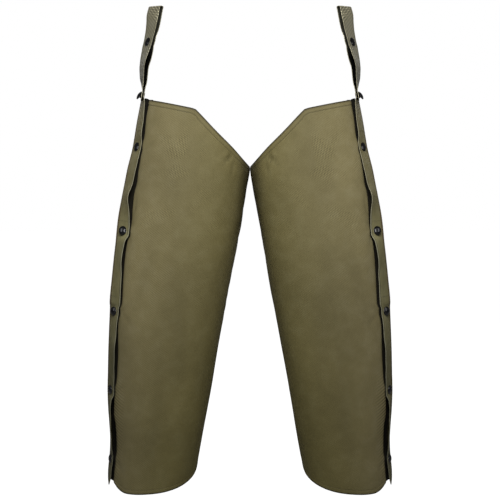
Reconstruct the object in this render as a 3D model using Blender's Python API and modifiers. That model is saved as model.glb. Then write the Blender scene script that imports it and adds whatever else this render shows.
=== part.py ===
"""Waterproof chaps: a pair of leg covers that hang from a belt by snap loops.

Each leg is one wrapped cloth panel.  A stiff placket strip is sewn to the panel's back
edge, laps over its front edge down the outside of the leg and closes with five press
studs.  Between the studs the placket stands off and the panel dips in behind its fold.
Above the leg a belt loop carries the strip on, folds over the belt and snaps to itself.

The frame: +X to the left of the wearer, +Y to the back, +Z up.  The origin lies midway
between the tops of the two belt loops, where the belt holds them.  Tables and sizes
are in millimetres; "out" is the distance from the middle plane between the legs.
"""
import math
from collections import namedtuple

import bpy
from mathutils import Matrix, Vector

MM = 0.001

# ---- driving sizes (mm, degrees) ------------------------------------------------------
CLOTH_WALL = 1.5          # panel and placket: the coated cloth with its turnings
LOOP_WALL = 1.2           # the belt loop's single layers
SEAM_GAP = 0.6            # between cloth pieces that are sewn or fastened together
STRIP_WIDTH = 42.0        # placket and belt loop
STUD_LINE = 24.5          # from the placket's back edge to the row of studs
STUD_STACK = 2.6          # snapped socket and post between two layers of cloth
LAP_END = 14.0            # the panel's front edge, from the placket's back edge
LAP_WIDTH = 16.0          # the flat lap of the panel under the studs
LAP_SINK = 0.5            # share of the dip, beyond a stud's, that the lap sinks by
STUD_DIP = 4.0            # the dip beside a stud, where the lap stays flat
SEAM_WIDTH = 7.0          # how far the panel's back edge runs under the placket

LEG_TOP = -200.0          # top of the placket and of the panel at the side
LEG_HEM = -1033.0         # the panel's hem under the placket
PLACKET_END = -1046.0     # the placket's lower end hangs below the hem
CROTCH = (0.4, -341.5)    # out, z of the tip between the legs
CROTCH_SLOPE = 1.035      # rise of the front top edge from the tip, per mm of out
WAIST_SLOPE = 0.2055      # rise of the upper stretch of the top edge
WAIST_CORNER = (117.9, -219.8)
CORNER_SOFTNESS = 0.8     # rounding of the corner between the two stretches
BACK_DROP = 14.0          # the back top edge is cut this much lower
INSEAM_SPLAY = 0.1805     # how fast the inner side leaves the middle plane

HEM_MIDDLE = (218.0, 62.0, -1019.2)    # out, y, z of the hem's middle
HEM_SLOPE_OUT = -0.071    # the hem is lower on the outer side
HEM_SLOPE_BACK = 0.269    # and lower in front

OVAL_POWER = 2.3          # roundness of the leg's section; 2 is an ellipse
FOLD_REACH = 8.0          # how far the soft fold reaches into the panel's front
TUCK_LINE = 40.0          # bottom of the dip, from the placket's back edge

STUD_SEAT = 9.0           # cloth lies flat this far above and below a stud
STUD_CLEAR = 0.3          # stud parts stand this far from the cloth
CAP_RADIUS = 8.9
CAP_HEIGHT = 3.4
CAP_RIM = 1.0
SOCKET_RADIUS = 4.5
RING_RADIUS = 5.4
RING_HEIGHT = 1.2

# ---- tables: one row for each level ----------------------------------------------------
# out: the placket's back edge; turn: how far the placket faces sideways, degrees;
# base: the same for the cloth under it; fold: out of the panel's visible fold;
# tuck: how deep the panel dips behind that fold.
Closure = namedtuple("Closure", "z out turn base fold tuck")
CLOSURE = (
    Closure(-200, 231.0, 74.5, 66.0, 207.4, 14),
    Closure(-211, 233.1, 70.0, 65.0, 209.0, 15),
    Closure(-244, 239.3, 67.0, 62.0, 214.8, 15),
    Closure(-270, 243.4, 65.3, 60.0, 218.2, 12),
    Closure(-297, 248.2, 60.0, 60.0, 222.5, 4),
    Closure(-346, 259.9, 59.5, 54.0, 230.8, 15),
    Closure(-371, 264.7, 61.1, 52.0, 231.8, 17),
    Closure(-396, 269.6, 65.8, 50.0, 238.8, 18),
    Closure(-446, 278.6, 49.5, 47.0, 242.4, 15),
    Closure(-471.5, 281.6, 46.2, 46.2, 247.8, 4),
    Closure(-497, 284.4, 57.5, 47.0, 256.8, 12),
    Closure(-523, 288.0, 60.2, 48.5, 261.0, 15),
    Closure(-574, 294.2, 56.0, 49.5, 265.0, 14),
    Closure(-627, 300.2, 52.0, 51.5, 268.0, 9),
    Closure(-643.5, 301.0, 57.6, 57.6, 272.5, 4),
    Closure(-680, 303.3, 61.8, 58.0, 279.5, 11),
    Closure(-733, 306.5, 64.4, 58.5, 281.0, 16),
    Closure(-787, 309.4, 64.5, 61.0, 285.0, 13),
    Closure(-817.5, 311.4, 64.2, 64.2, 287.2, 4),
    Closure(-842, 312.0, 75.0, 65.0, 289.8, 12),
    Closure(-870, 311.7, 76.6, 65.5, 291.0, 17),
    Closure(-898, 310.6, 79.2, 66.5, 287.2, 19),
    Closure(-927, 310.0, 79.4, 68.0, 289.0, 19),
    Closure(-956, 311.4, 76.0, 70.0, 290.5, 14),
    Closure(-980, 314.2, 73.0, 73.0, 292.5, 4),
    Closure(-1015, 318.4, 74.5, 73.0, 297.6, 14),
    Closure(-1046, 320.2, 81.0, 76.0, 302.0, 16),
)
# centre_y: middle of the leg from front to back; depth: half its depth.
Leg = namedtuple("Leg", "z centre_y depth")
LEG = (
    Leg(-190, 28.0, 100.0),
    Leg(-342, 24.0, 105.0),
    Leg(-500, 20.0, 106.0),
    Leg(-600, 22.0, 104.0),
    Leg(-700, 25.0, 101.5),
    Leg(-800, 32.0, 99.0),
    Leg(-900, 42.5, 97.5),
    Leg(-960, 51.0, 96.8),
    Leg(-1060, 63.0, 96.0),
)
# out, y: middle of the loop's front layer; turn: as above; gap: room between the layers.
Loop = namedtuple("Loop", "z out y turn gap")
LOOP = (
    Loop(-4, 200.5, 0.5, 53.5, 7.4),
    Loop(-20, 204.5, 0.0, 50.5, 7.4),
    Loop(-35, 206.8, -1.0, 52.8, 7.2),
    Loop(-51, 209.2, -2.0, 55.3, 6.2),
    Loop(-68, 212.8, -3.8, 57.5, 3.2),
    Loop(-78, 215.2, -4.8, 58.6, 2.6),
    Loop(-101, 221.1, -8.0, 63.0, 6.4),
    Loop(-118, 225.4, -10.2, 68.0, 9.0),
    Loop(-134, 227.5, -12.4, 71.0, 7.6),
    Loop(-151, 227.3, -14.8, 73.0, 4.4),
    Loop(-168, 225.8, -18.0, 79.0, 2.8),
    Loop(-180, 225.4, -20.6, 83.0, 2.6),
    Loop(-189, 226.8, -22.2, 83.0, 2.6),
    Loop(-200, 228.5, -24.2, 80.0, 2.6),
)
LOOP_FOLD = -4.0          # the layers part from the fold at the loop's top here
LOOP_FRONT_END = -199.0   # lower end of the front layer
LOOP_JOIN = (-194.5, -199.2)           # the back layer meets the placket's top here
LOOP_STUD_SHIFT = 2.0     # the loop's studs sit this far in front of its middle

PLACKET_STUDS = {"hip": -297.0, "thigh": -471.5, "knee": -643.5, "calf": -817.5, "hem": -980.0}
LOOP_STUDS = {"loop_upper": -78.0, "loop_lower": -189.0}

SIDES = {"right": -1, "left": 1}       # of the wearer, who faces -Y
CLOTH_COLOR = (0.135, 0.115, 0.055, 1.0)
STRIP_COLOR = (0.125, 0.115, 0.070, 1.0)
STUD_COLOR = (0.012, 0.012, 0.012, 1.0)


# ---- reading the tables ----------------------------------------------------------------
def slopes(keys, values):
    """Slopes of a smooth curve through a table that never swings past its rows."""
    steps = [(values[i + 1] - values[i]) / (keys[i + 1] - keys[i]) for i in range(len(keys) - 1)]
    inner = []
    for before, after in zip(steps, steps[1:]):
        same_way = before * after > 0
        inner.append(2 * before * after / (before + after) if same_way else 0.0)
    return [steps[0]] + inner + [steps[-1]]


def curve_through(rows, column):
    """A function of z that reads one column of a table smoothly."""
    keys = [-row.z for row in rows]
    values = [getattr(row, column) for row in rows]
    tangents = slopes(keys, values)

    def value(z):
        key = min(max(-z, keys[0]), keys[-1])
        i = max(k for k in range(len(keys) - 1) if keys[k] <= key)
        span = keys[i + 1] - keys[i]
        t = (key - keys[i]) / span
        start = values[i] * (1 + 2 * t) * (1 - t) ** 2 + tangents[i] * span * t * (1 - t) ** 2
        end = values[i + 1] * t * t * (3 - 2 * t) + tangents[i + 1] * span * t * t * (t - 1)
        return start + end
    return value


closure = {name: curve_through(CLOSURE, name) for name in Closure._fields[1:]}
leg = {name: curve_through(LEG, name) for name in Leg._fields[1:]}
loop = {name: curve_through(LOOP, name) for name in Loop._fields[1:]}


def seated(z, studs):
    """Hold a level at the stud it is close to, so that the cloth is flat round the stud."""
    for stud in studs.values():
        distance = z - stud
        if abs(distance) < 2 * STUD_SEAT:
            spare = max(0.0, abs(distance) - STUD_SEAT) * 2
            return stud + math.copysign(spare, distance)
    return z


# ---- the section of a leg ----------------------------------------------------------------
def inner_side(z):
    """out of the leg's inner side."""
    return CROTCH[0] + max(0.0, CROTCH[1] - z) * INSEAM_SPLAY


def oval(z):
    """Middle and half sizes of the leg's section: out, y, half width, half depth."""
    outer = closure["out"](z)
    inner = inner_side(z)
    return (outer + inner) / 2, leg["centre_y"](z), (outer - inner) / 2, leg["depth"](z)


def front_y(z, out):
    """y of the leg's front at a distance out."""
    middle, centre_y, half_width, depth = oval(z)
    share = min(1.0, abs(out - middle) / half_width)
    return centre_y - depth * (1 - share ** OVAL_POWER) ** (1 / OVAL_POWER)


def oval_point(z, angle):
    """A point of the section; 0 is the outer side, 90 the back, 180 the inner side."""
    middle, centre_y, half_width, depth = oval(z)
    c, s = math.cos(math.radians(angle)), math.sin(math.radians(angle))
    power = 2 / OVAL_POWER
    out = middle + half_width * math.copysign(abs(c) ** power, c)
    return Vector((out, centre_y + depth * math.copysign(abs(s) ** power, s)))


def facing(turn):
    """Directions of a strip: across it to its front edge, and out of its face."""
    c, s = math.cos(math.radians(turn)), math.sin(math.radians(turn))
    return Vector((-c, -s)), Vector((s, -c))


def back_edge(z):
    """The placket's back edge: its y sets the cloth under it tangent to the leg."""
    across, outward = facing(closure["base"](seated(z, PLACKET_STUDS)))
    sunk = CLOTH_WALL + STUD_STACK
    out = closure["out"](z)
    touch = out + STRIP_WIDTH * across.x - sunk * outward.x
    return Vector((out, front_y(z, touch) - STRIP_WIDTH * across.y + sunk * outward.y))


def strip_point(z, distance, sunk=0.0):
    """A point of the placket's outer face, or under it."""
    across, outward = facing(closure["turn"](seated(z, PLACKET_STUDS)))
    return back_edge(z) + distance * across - sunk * outward


def lap_point(z, distance, dip=None):
    """A point of the panel where it passes under the placket; the lap sinks to the dip."""
    level = seated(z, PLACKET_STUDS)
    across, outward = facing(closure["base"](level))
    if dip is None:
        sunk = max(0.0, closure["tuck"](level) - STUD_DIP) * LAP_SINK
        dip = sunk * (distance - LAP_END) / LAP_WIDTH
    return back_edge(z) + distance * across - (CLOTH_WALL + STUD_STACK + dip) * outward


def fold_points(z):
    """Guides of the dip and the fold at the panel's visible edge."""
    level = seated(z, PLACKET_STUDS)
    fold = closure["fold"](level)
    bottom = lap_point(z, TUCK_LINE, closure["tuck"](level))
    end = Vector((fold - FOLD_REACH, front_y(z, fold - FOLD_REACH)))
    ahead = Vector((end.x + 1.0, front_y(z, end.x + 1.0)))
    corner_out = (2 * fold - 0.25 * bottom.x - 0.5 * end.x) / 1.25
    corner = end + (ahead - end) * (corner_out - end.x)
    return bottom, corner, end


def rounded(start, guide, end, t):
    """A point of the curve that leaves start and reaches end along a guide."""
    return start * (1 - t) ** 2 + guide * 2 * t * (1 - t) + end * t * t


def tuck_station(z, t):
    """From the lap into the dip."""
    bottom, corner, _ = fold_points(z)
    return rounded(lap_point(z, LAP_END + LAP_WIDTH), bottom, (bottom + corner) / 2, t)


def fold_station(z, t):
    """Out of the dip and round the visible fold."""
    bottom, corner, end = fold_points(z)
    return rounded((bottom + corner) / 2, corner, end, t)


def front_outer_station(z, t):
    """From the fold to the middle of the front."""
    middle, _, half_width, _ = oval(z)
    share = (fold_points(z)[2].x - middle) / half_width
    first = 360 - math.degrees(math.acos(share ** (OVAL_POWER / 2)))
    return oval_point(z, first + (270 - first) * t)


def front_inner_station(z, t):
    """From the middle of the front to the inner side."""
    return oval_point(z, 270 - 90 * t)


def back_station(z, t):
    """From the inner side round to the middle of the back."""
    return oval_point(z, 180 - 90 * t)


def side_station(z, t):
    """From the middle of the back to the placket's back edge."""
    start = oval_point(z, 90)
    end = strip_point(z, 0.0, CLOTH_WALL + SEAM_GAP)
    reach = 0.56
    handle_a = start + Vector((reach * (end.x - start.x), 0))
    handle_b = end + Vector((0, reach * (start.y - end.y)))
    return (start * (1 - t) ** 3 + handle_a * 3 * t * (1 - t) ** 2
            + handle_b * 3 * t * t * (1 - t) + end * t ** 3)


def seam_station(z, t):
    """The panel's back edge, sewn under the placket."""
    return strip_point(z, SEAM_WIDTH * t, CLOTH_WALL + SEAM_GAP)


def lap_station(z, t):
    """The panel's front edge under the studs."""
    return lap_point(z, LAP_END + LAP_WIDTH * t)


# ---- top edge and hem -------------------------------------------------------------------
def smooth_step(value, low, high):
    t = min(1.0, max(0.0, (value - low) / (high - low)))
    return t * t * (3 - 2 * t)


def top_edge(out, y, z):
    """Height of the panel's top edge at a point of its section."""
    rise = CROTCH[1] + CROTCH_SLOPE * (out - CROTCH[0])
    waist = min(LEG_TOP, WAIST_CORNER[1] + WAIST_SLOPE * (out - WAIST_CORNER[0]))
    low, high = min(rise, waist), max(rise, waist)
    edge = low - CORNER_SOFTNESS * math.exp((low - high) / (4 * CORNER_SOFTNESS))
    _, centre_y, _, depth = oval(z)
    drop = smooth_step(y, centre_y - 0.2 * depth, centre_y + 0.7 * depth) * smooth_step(out, 0.0, 40.0)
    return edge - BACK_DROP * drop


def hem_edge(out, y, z):
    """Height of the hem at a point of the section."""
    middle_out, middle_y, middle_z = HEM_MIDDLE
    return middle_z + HEM_SLOPE_OUT * (out - middle_out) + HEM_SLOPE_BACK * (y - middle_y)


def levels(studs, top, bottom, between):
    """Levels from top to bottom with a flat seat at each stud."""
    seats = [stud + step for stud in studs.values() for step in (STUD_SEAT, 0.0, -STUD_SEAT)]
    marks = [top] + sorted((z for z in seats if bottom + 1 < z < top - 1), reverse=True) + [bottom]
    result = [top]
    for high, low in zip(marks, marks[1:]):
        parts = 1 if high - low <= STUD_SEAT + 1 else max(1, round((high - low) / between))
        result += [high + (low - high) * k / parts for k in range(1, parts + 1)]
    return result


ROWS = levels(PLACKET_STUDS, LEG_TOP, LEG_HEM, 36.0)

# the panel's stations round the leg, and how far its edges are free there of the
# placket's own top and bottom levels, at the start and at the end of the station
Station = namedtuple("Station", "place steps free_start free_end")
STATIONS = (
    Station(lap_station, 2, 0.0, 0.0),
    Station(tuck_station, 4, 0.0, 0.5),
    Station(fold_station, 5, 0.5, 1.0),
    Station(front_outer_station, 7, 1.0, 1.0),
    Station(front_inner_station, 7, 1.0, 1.0),
    Station(back_station, 6, 1.0, 1.0),
    Station(side_station, 6, 1.0, 0.0),
    Station(seam_station, 1, 0.0, 0.0),
)


def panel_columns():
    """Every column as (place, t, how far its edges are free)."""
    columns = []
    for place, steps, free_start, free_end in STATIONS:
        for k in range(1 if columns else 0, steps + 1):
            t = k / steps
            columns.append((place, t, free_start + (free_end - free_start) * t))
    return columns


def settled_level(place, t, edge, level, free):
    """The level of a column's end, where the edge's height depends on the place."""
    z = level
    for _ in range(16):
        z = level + (edge(*place(z, t), z) - level) * free
    return z


def panel_rows():
    """The panel's outer face: rows of (out, y, z) from the top edge to the hem."""
    columns = []
    for place, t, free in panel_columns():
        top = settled_level(place, t, top_edge, LEG_TOP, free)
        bottom = settled_level(place, t, hem_edge, LEG_HEM, free)
        share = [(LEG_TOP - level) / (LEG_TOP - LEG_HEM) for level in ROWS]
        heights = [top + (bottom - top) * s for s in share]
        columns.append([(*place(z, t), z) for z in heights])
    return list(zip(*columns))


def placket_rows():
    """The placket's outer face, from its top to the end below the hem."""
    steps = 4
    heights = ROWS + [PLACKET_END]
    return [[(*strip_point(z, STRIP_WIDTH * k / steps), z) for k in range(steps + 1)] for z in heights]


def loop_layer(z):
    """The loop's section at a level: middle of its front face, directions, room inside."""
    level = seated(z, LOOP_STUDS)
    across, outward = facing(loop["turn"](level))
    return Vector((loop["out"](z), loop["y"](z))), across, outward, loop["gap"](level)


def loop_back(z, distance):
    """The far face of the loop's back layer; its lower end lies in line with the placket."""
    middle, across, outward, gap = loop_layer(z)
    own = middle + across * distance - outward * (2 * LOOP_WALL + gap)
    placket = strip_point(z, STRIP_WIDTH / 2 + distance, CLOTH_WALL)
    return own.lerp(placket, smooth_step(-z, -LOOP_JOIN[0], -LOOP_JOIN[1]))


def loop_rows():
    """The loop's outside: up the back layer, over the fold and down the front layer."""
    fold_steps, width_steps = 6, 4
    reach = [STRIP_WIDTH * (k / width_steps - 0.5) for k in range(width_steps + 1)]
    heights = levels(LOOP_STUDS, LOOP_FOLD, LOOP_FRONT_END, 16.0)
    rows = []
    for z in reversed(heights):
        middle, across, _, _ = loop_layer(z)
        rows.append([(*(middle + across * s), z) for s in reach])
    middle, across, outward, gap = loop_layer(LOOP_FOLD)
    radius = LOOP_WALL + gap / 2
    for k in range(1, fold_steps):
        angle = math.pi * k / fold_steps
        centre = middle - outward * radius * (1 - math.cos(angle))
        rows.append([(*(centre + across * s), LOOP_FOLD + radius * math.sin(angle)) for s in reach])
    heights = [z for z in heights if z > LOOP_JOIN[0] + 1] + [
        LOOP_JOIN[0] + (LOOP_JOIN[1] - LOOP_JOIN[0]) * k / 2 for k in range(3)]
    for z in heights:
        rows.append([(*loop_back(z, s), z) for s in reach])
    return rows[::-1]


# ---- making objects ----------------------------------------------------------------------
def plain_material(name, color, roughness, metallic=0.0):
    material = bpy.data.materials.new(name)
    material.use_nodes = True
    shader = material.node_tree.nodes["Principled BSDF"]
    shader.inputs["Base Color"].default_value = color
    shader.inputs["Roughness"].default_value = roughness
    shader.inputs["Metallic"].default_value = metallic
    material.diffuse_color = color
    return material


def add_object(name, mesh, collection, parent, material):
    obj = bpy.data.objects.new(name, mesh)
    collection.objects.link(obj)
    obj.parent = parent
    mesh.materials.append(material)
    return obj


def cloth_object(name, rows, thickness, side, collection, parent, material):
    """A wall of cloth inward from rows of points on its outer face."""
    width = len(rows[0])
    points = [(side * out * MM, y * MM, z * MM) for row in rows for out, y, z in row]
    faces = []
    for r in range(len(rows) - 1):
        for c in range(width - 1):
            corners = [r * width + c, r * width + c + 1, (r + 1) * width + c + 1, (r + 1) * width + c]
            faces.append(corners if side > 0 else corners[:1] + corners[:0:-1])
    mesh = bpy.data.meshes.new(name)
    mesh.from_pydata(points, [], faces)
    mesh.shade_smooth()
    obj = add_object(name, mesh, collection, parent, material)
    wall = obj.modifiers.new("wall", "SOLIDIFY")
    wall.thickness = thickness * MM
    wall.offset = -1.0
    wall.use_even_offset = True
    wall.use_quality_normals = True
    return obj


def turned_mesh(name, profile, steps):
    """A mesh of one profile; each object that uses it turns it with Screw."""
    mesh = bpy.data.meshes.new(name)
    edges = [(k, k + 1) for k in range(len(profile) - 1)]
    mesh.from_pydata([(r * MM, 0.0, h * MM) for r, h in profile], edges, [])
    mesh["steps"] = steps
    return mesh


def turned_object(name, mesh, place, collection, parent, material):
    obj = bpy.data.objects.new(name, mesh)
    collection.objects.link(obj)
    obj.parent = parent
    obj.matrix_local = place
    if not mesh.materials:
        mesh.materials.append(material)
    screw = obj.modifiers.new("turn", "SCREW")
    screw.steps = screw.render_steps = mesh["steps"]
    screw.use_merge_vertices = True
    screw.merge_threshold = 0.0001
    screw.use_smooth_shade = True
    return obj


def cap_profile():
    """A domed cap over a short straight rim, from the top of the dome to its flat back."""
    dome = [(CAP_RADIUS * math.sin(math.radians(a)),
             CAP_RIM + (CAP_HEIGHT - CAP_RIM) * math.cos(math.radians(a))) for a in (0, 26, 52, 75, 90)]
    return dome + [(CAP_RADIUS - 0.3, 0.0), (0.0, 0.0)]


def disc_profile(radius, height):
    return [(0.0, height), (radius, height), (radius, 0.0), (0.0, 0.0)]


def stud_place(point, across, along, side):
    """A stud's frame: Z out of the cloth, at a point of its outer face."""
    outward = across.cross(along).normalized()
    if outward.x < 0:
        outward.negate()
    outward.x *= side
    origin = Vector((side * point.x, point.y, point.z)) * MM
    turn = outward.to_track_quat("Z", "Y").to_matrix().to_4x4()
    return Matrix.Translation(origin) @ turn


def placket_stud_place(z, side):
    half = STUD_SEAT / 2
    above, below = strip_point(z + half, STUD_LINE), strip_point(z - half, STUD_LINE)
    across = facing(closure["turn"](z))[0]
    point = (above + below) / 2
    return stud_place(Vector((*point, z)), Vector((*across, 0)),
                      Vector((*(above - below), 2 * half)), side)


def loop_stud_place(z, side):
    half = STUD_SEAT / 2
    above, below = loop_layer(z + half)[0], loop_layer(z - half)[0]
    across = loop_layer(z)[1]
    point = (above + below) / 2 + across * LOOP_STUD_SHIFT
    return stud_place(Vector((*point, z)), Vector((*across, 0)),
                      Vector((*(above - below), 2 * half)), side)


def add_studs(side_name, side, meshes, collection, parent, material):
    """Cap outside, snapped socket between the layers and ring inside, for every stud."""
    places = [(name, placket_stud_place(z, side), CLOTH_WALL) for name, z in PLACKET_STUDS.items()]
    places += [(name, loop_stud_place(z, side), LOOP_WALL) for name, z in LOOP_STUDS.items()]
    for stud, place, wall in places:
        heights = {
            "cap": STUD_CLEAR,
            "socket": -wall - STUD_STACK + STUD_CLEAR,
            "ring": -2 * wall - STUD_STACK - STUD_CLEAR - RING_HEIGHT,
        }
        for piece, height in heights.items():
            raised = place @ Matrix.Translation((0, 0, height * MM))
            name = f"{side_name}_{stud}_stud_{piece}"
            turned_object(name, meshes[piece], raised, collection, parent, material)


def build():
    for old in list(bpy.data.objects):
        bpy.data.objects.remove(old, do_unlink=True)
    collection = bpy.data.collections.new("waterproof_chaps")
    bpy.context.scene.collection.children.link(collection)
    belt_line = bpy.data.objects.new("belt_line", None)
    collection.objects.link(belt_line)

    cloth = plain_material("coated_cloth", CLOTH_COLOR, 0.75)
    strip = plain_material("placket_cloth", STRIP_COLOR, 0.75)
    metal = plain_material("black_stud_metal", STUD_COLOR, 0.35, 0.6)
    meshes = {
        "cap": turned_mesh("stud_cap", cap_profile(), 16),
        "socket": turned_mesh("stud_socket", disc_profile(SOCKET_RADIUS, STUD_STACK - 2 * STUD_CLEAR), 12),
        "ring": turned_mesh("stud_ring", disc_profile(RING_RADIUS, RING_HEIGHT), 12),
    }
    panel, placket, belt_loop = panel_rows(), placket_rows(), loop_rows()
    for name, side in SIDES.items():
        cloth_object(f"{name}_leg_panel", panel, CLOTH_WALL, side, collection, belt_line, cloth)
        cloth_object(f"{name}_placket", placket, CLOTH_WALL, side, collection, belt_line, strip)
        cloth_object(f"{name}_belt_loop", belt_loop, LOOP_WALL, side, collection, belt_line, strip)
        add_studs(name, side, meshes, collection, belt_line, metal)


build()
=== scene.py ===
# %% [markdown]
# # A pair of waterproof chaps
#
# Two leg covers of coated canvas hang from a belt by snap loops.  Each leg is one wrapped panel.
# A folded placket is sewn to its back edge, laps over its front edge down the outside of the
# leg, and closes with five black press studs.
#
# The packed CAD model is the fixed frame.  This script dresses it: finer cloth on the form of
# the solids, turned studs, sewing, woven materials and a plain studio.
#
# Sizes in the tables are in millimetres.  "out" is the distance from the middle plane between
# the legs, so one table serves both legs, and z is the height under the top of the loops.

# %% Load the packed frame
import math
from collections import namedtuple

import bpy
import numpy as np
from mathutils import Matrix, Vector


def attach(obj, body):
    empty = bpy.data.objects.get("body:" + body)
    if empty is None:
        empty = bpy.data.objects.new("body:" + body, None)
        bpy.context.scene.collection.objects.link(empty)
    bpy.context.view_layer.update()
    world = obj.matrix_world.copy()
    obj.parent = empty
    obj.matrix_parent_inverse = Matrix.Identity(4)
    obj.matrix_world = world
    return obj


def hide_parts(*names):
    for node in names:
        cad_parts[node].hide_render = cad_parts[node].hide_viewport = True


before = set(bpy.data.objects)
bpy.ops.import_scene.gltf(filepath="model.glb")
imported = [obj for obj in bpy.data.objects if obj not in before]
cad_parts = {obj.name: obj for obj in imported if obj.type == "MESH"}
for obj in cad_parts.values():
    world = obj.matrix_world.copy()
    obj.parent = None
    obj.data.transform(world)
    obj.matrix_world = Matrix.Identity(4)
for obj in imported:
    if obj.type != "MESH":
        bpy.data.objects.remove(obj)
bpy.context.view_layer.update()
MM = 0.001
SIDES = {"right": -1, "left": 1}       # of the wearer, who faces -Y

# %% [markdown]
# ## Camera
# The photograph looks straight at the front from a little above the middle, with the camera
# tilted down a few degrees.  A short lens close by would widen the loops at the top, and a long
# one far off would flatten the legs.  A lens of about 64 mm at 1.9 m gives the same perspective.

# %% Camera
CAMERA_PLACE, CAMERA_AIM = (0.0, -1.900, -0.3411), (0.0, 0.0, -0.5168)
CAMERA_LENS, SENSOR_WIDTH = 63.9, 36.0      # mm


def put_in_scene(name, data):
    """A new object that carries this data."""
    thing = bpy.data.objects.new(name, data)
    bpy.context.scene.collection.objects.link(thing)
    return thing


def point_at(thing, place, aim):
    """Stand a camera or a lamp at a place and turn it to its aim."""
    thing.location = place
    thing.rotation_euler = (Vector(aim) - Vector(place)).to_track_quat("-Z", "Y").to_euler()


camera = put_in_scene("camera", bpy.data.cameras.new("camera"))
camera.data.lens = CAMERA_LENS
camera.data.sensor_width = SENSOR_WIDTH
point_at(camera, CAMERA_PLACE, CAMERA_AIM)
bpy.context.scene.camera = camera
print("camera at", tuple(round(v, 3) for v in camera.location))

# %% [markdown]
# ## The form of the cloth
# A leg's section is a soft oval.  Down the outside three things change with height: where the
# placket's back edge lies, how far it faces sideways, and where the panel's fold shows beside
# it.  A simulation could drape such cloth, but it would drift away from the solids of the frame.
# So the form comes from short tables of what was measured, one row for each level, and
# everything else is worked out from them, as it is in the solids.

# %% Sizes of the closure
CLOTH_WALL = 1.5                       # panel and placket
SEAM_GAP = 0.6                         # between cloth pieces that are sewn together
STRIP_WIDTH = 42.0                     # placket and belt loop
STUD_LINE = 24.5                       # from the placket's back edge to the row of studs
STUD_STACK = 2.6                       # snapped socket and post between two layers
LEG_TOP, LEG_HEM, PLACKET_END = -200.0, -1033.0, -1036.0
PLACKET_STUDS = {"hip": -297.0, "thigh": -471.5, "knee": -643.5, "calf": -817.5, "hem": -980.0}
print("studs on the placket:", ", ".join(PLACKET_STUDS))

# %% Table of the closure
# out: the placket's back edge; turn: how far the placket faces sideways, in degrees;
# base: the same for the cloth under it; fold: out of the panel's visible fold;
# tuck: how deep the panel dips behind that fold.
Closure = namedtuple("Closure", "z out turn base fold tuck")
CLOSURE = (
    Closure(-200, 231.0, 74.5, 66.0, 208.8, 14),
    Closure(-211, 233.1, 70.0, 65.0, 210.4, 15),
    Closure(-244, 239.3, 67.0, 62.0, 216.0, 15),
    Closure(-270, 243.4, 65.3, 60.0, 218.2, 12),
    Closure(-297, 248.2, 60.0, 60.0, 222.5, 4),
    Closure(-346, 259.9, 59.5, 54.0, 232.8, 15),
    Closure(-371, 264.7, 61.1, 52.0, 236.0, 17),
    Closure(-396, 269.6, 65.8, 50.0, 242.6, 18),
    Closure(-446, 278.6, 49.5, 47.0, 246.4, 15),
    Closure(-471.5, 281.6, 46.2, 46.2, 247.8, 4),
    Closure(-497, 284.4, 57.5, 47.0, 256.8, 12),
    Closure(-523, 288.0, 60.2, 48.5, 261.0, 15),
    Closure(-574, 294.2, 56.0, 49.5, 265.0, 14),
    Closure(-627, 300.2, 52.0, 51.5, 268.0, 9),
    Closure(-643.5, 301.0, 57.6, 57.6, 272.5, 4),
    Closure(-680, 303.3, 61.8, 58.0, 279.5, 11),
    Closure(-733, 306.5, 64.4, 58.5, 281.0, 16),
    Closure(-787, 309.4, 64.5, 61.0, 285.0, 13),
    Closure(-817.5, 311.4, 63.6, 63.6, 289.0, 4),
    Closure(-842, 312.0, 72.8, 65.0, 292.6, 12),
    Closure(-870, 311.7, 75.8, 65.5, 294.6, 17),
    Closure(-898, 310.6, 79.0, 66.5, 291.2, 19),
    Closure(-927, 310.0, 79.4, 68.0, 290.4, 19),
    Closure(-956, 311.4, 76.0, 70.0, 290.5, 14),
    Closure(-980, 314.2, 73.0, 73.0, 292.5, 4),
    Closure(-1015, 318.4, 74.5, 73.0, 297.6, 14),
    Closure(-1046, 320.2, 81.0, 76.0, 302.0, 16),
)
print("closure:", len(CLOSURE), "levels")

# %% Table of the leg's depth
# centre_y: middle of the leg from front to back; depth: half its depth.
Leg = namedtuple("Leg", "z centre_y depth")
LEG = (
    Leg(-190, 28.0, 100.0),
    Leg(-342, 24.0, 105.0),
    Leg(-500, 20.0, 106.0),
    Leg(-600, 22.0, 104.0),
    Leg(-700, 25.0, 101.5),
    Leg(-800, 32.0, 99.0),
    Leg(-900, 42.5, 97.5),
    Leg(-960, 51.0, 96.8),
    Leg(-1060, 63.0, 96.0),
)
print("leg:", len(LEG), "levels")

# %% [markdown]
# A table is read with a smooth curve that passes through each row.  A spline through all rows
# would swing past them between the studs.  Cubic pieces don't, if the slope at a row is the
# harmonic mean of the slopes on its two sides, or level where these differ in sign.


# %% Read a table smoothly
def reader(rows, column):
    """A smooth function of height through one column of a table."""
    keys = -np.array([row.z for row in rows], float)
    values = np.array([getattr(row, column) for row in rows], float)
    steps = np.diff(values) / np.diff(keys)
    product, total = steps[:-1] * steps[1:], steps[:-1] + steps[1:]
    inner = np.where(product > 0, 2 * product / np.where(product > 0, total, 1.0), 0.0)
    tangents = np.concatenate([steps[:1], inner, steps[-1:]])

    def value(z):
        key = np.clip(-np.asarray(z, float), keys[0], keys[-1])
        i = np.clip(np.searchsorted(keys, key, side="right") - 1, 0, len(keys) - 2)
        span = keys[i + 1] - keys[i]
        t = (key - keys[i]) / span
        start = values[i] * (1 + 2 * t) * (1 - t) ** 2 + tangents[i] * span * t * (1 - t) ** 2
        end = values[i + 1] * t * t * (3 - 2 * t) + tangents[i + 1] * span * t * t * (t - 1)
        return start + end
    return value


def readers(rows):
    """A reader for each column of a table except its heights."""
    return {column: reader(rows, column) for column in rows[0]._fields[1:]}


closure, leg = readers(CLOSURE), readers(LEG)
print("placket's back edge at the knee:", round(float(closure["out"](-643.5)), 1), "mm out")

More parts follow.
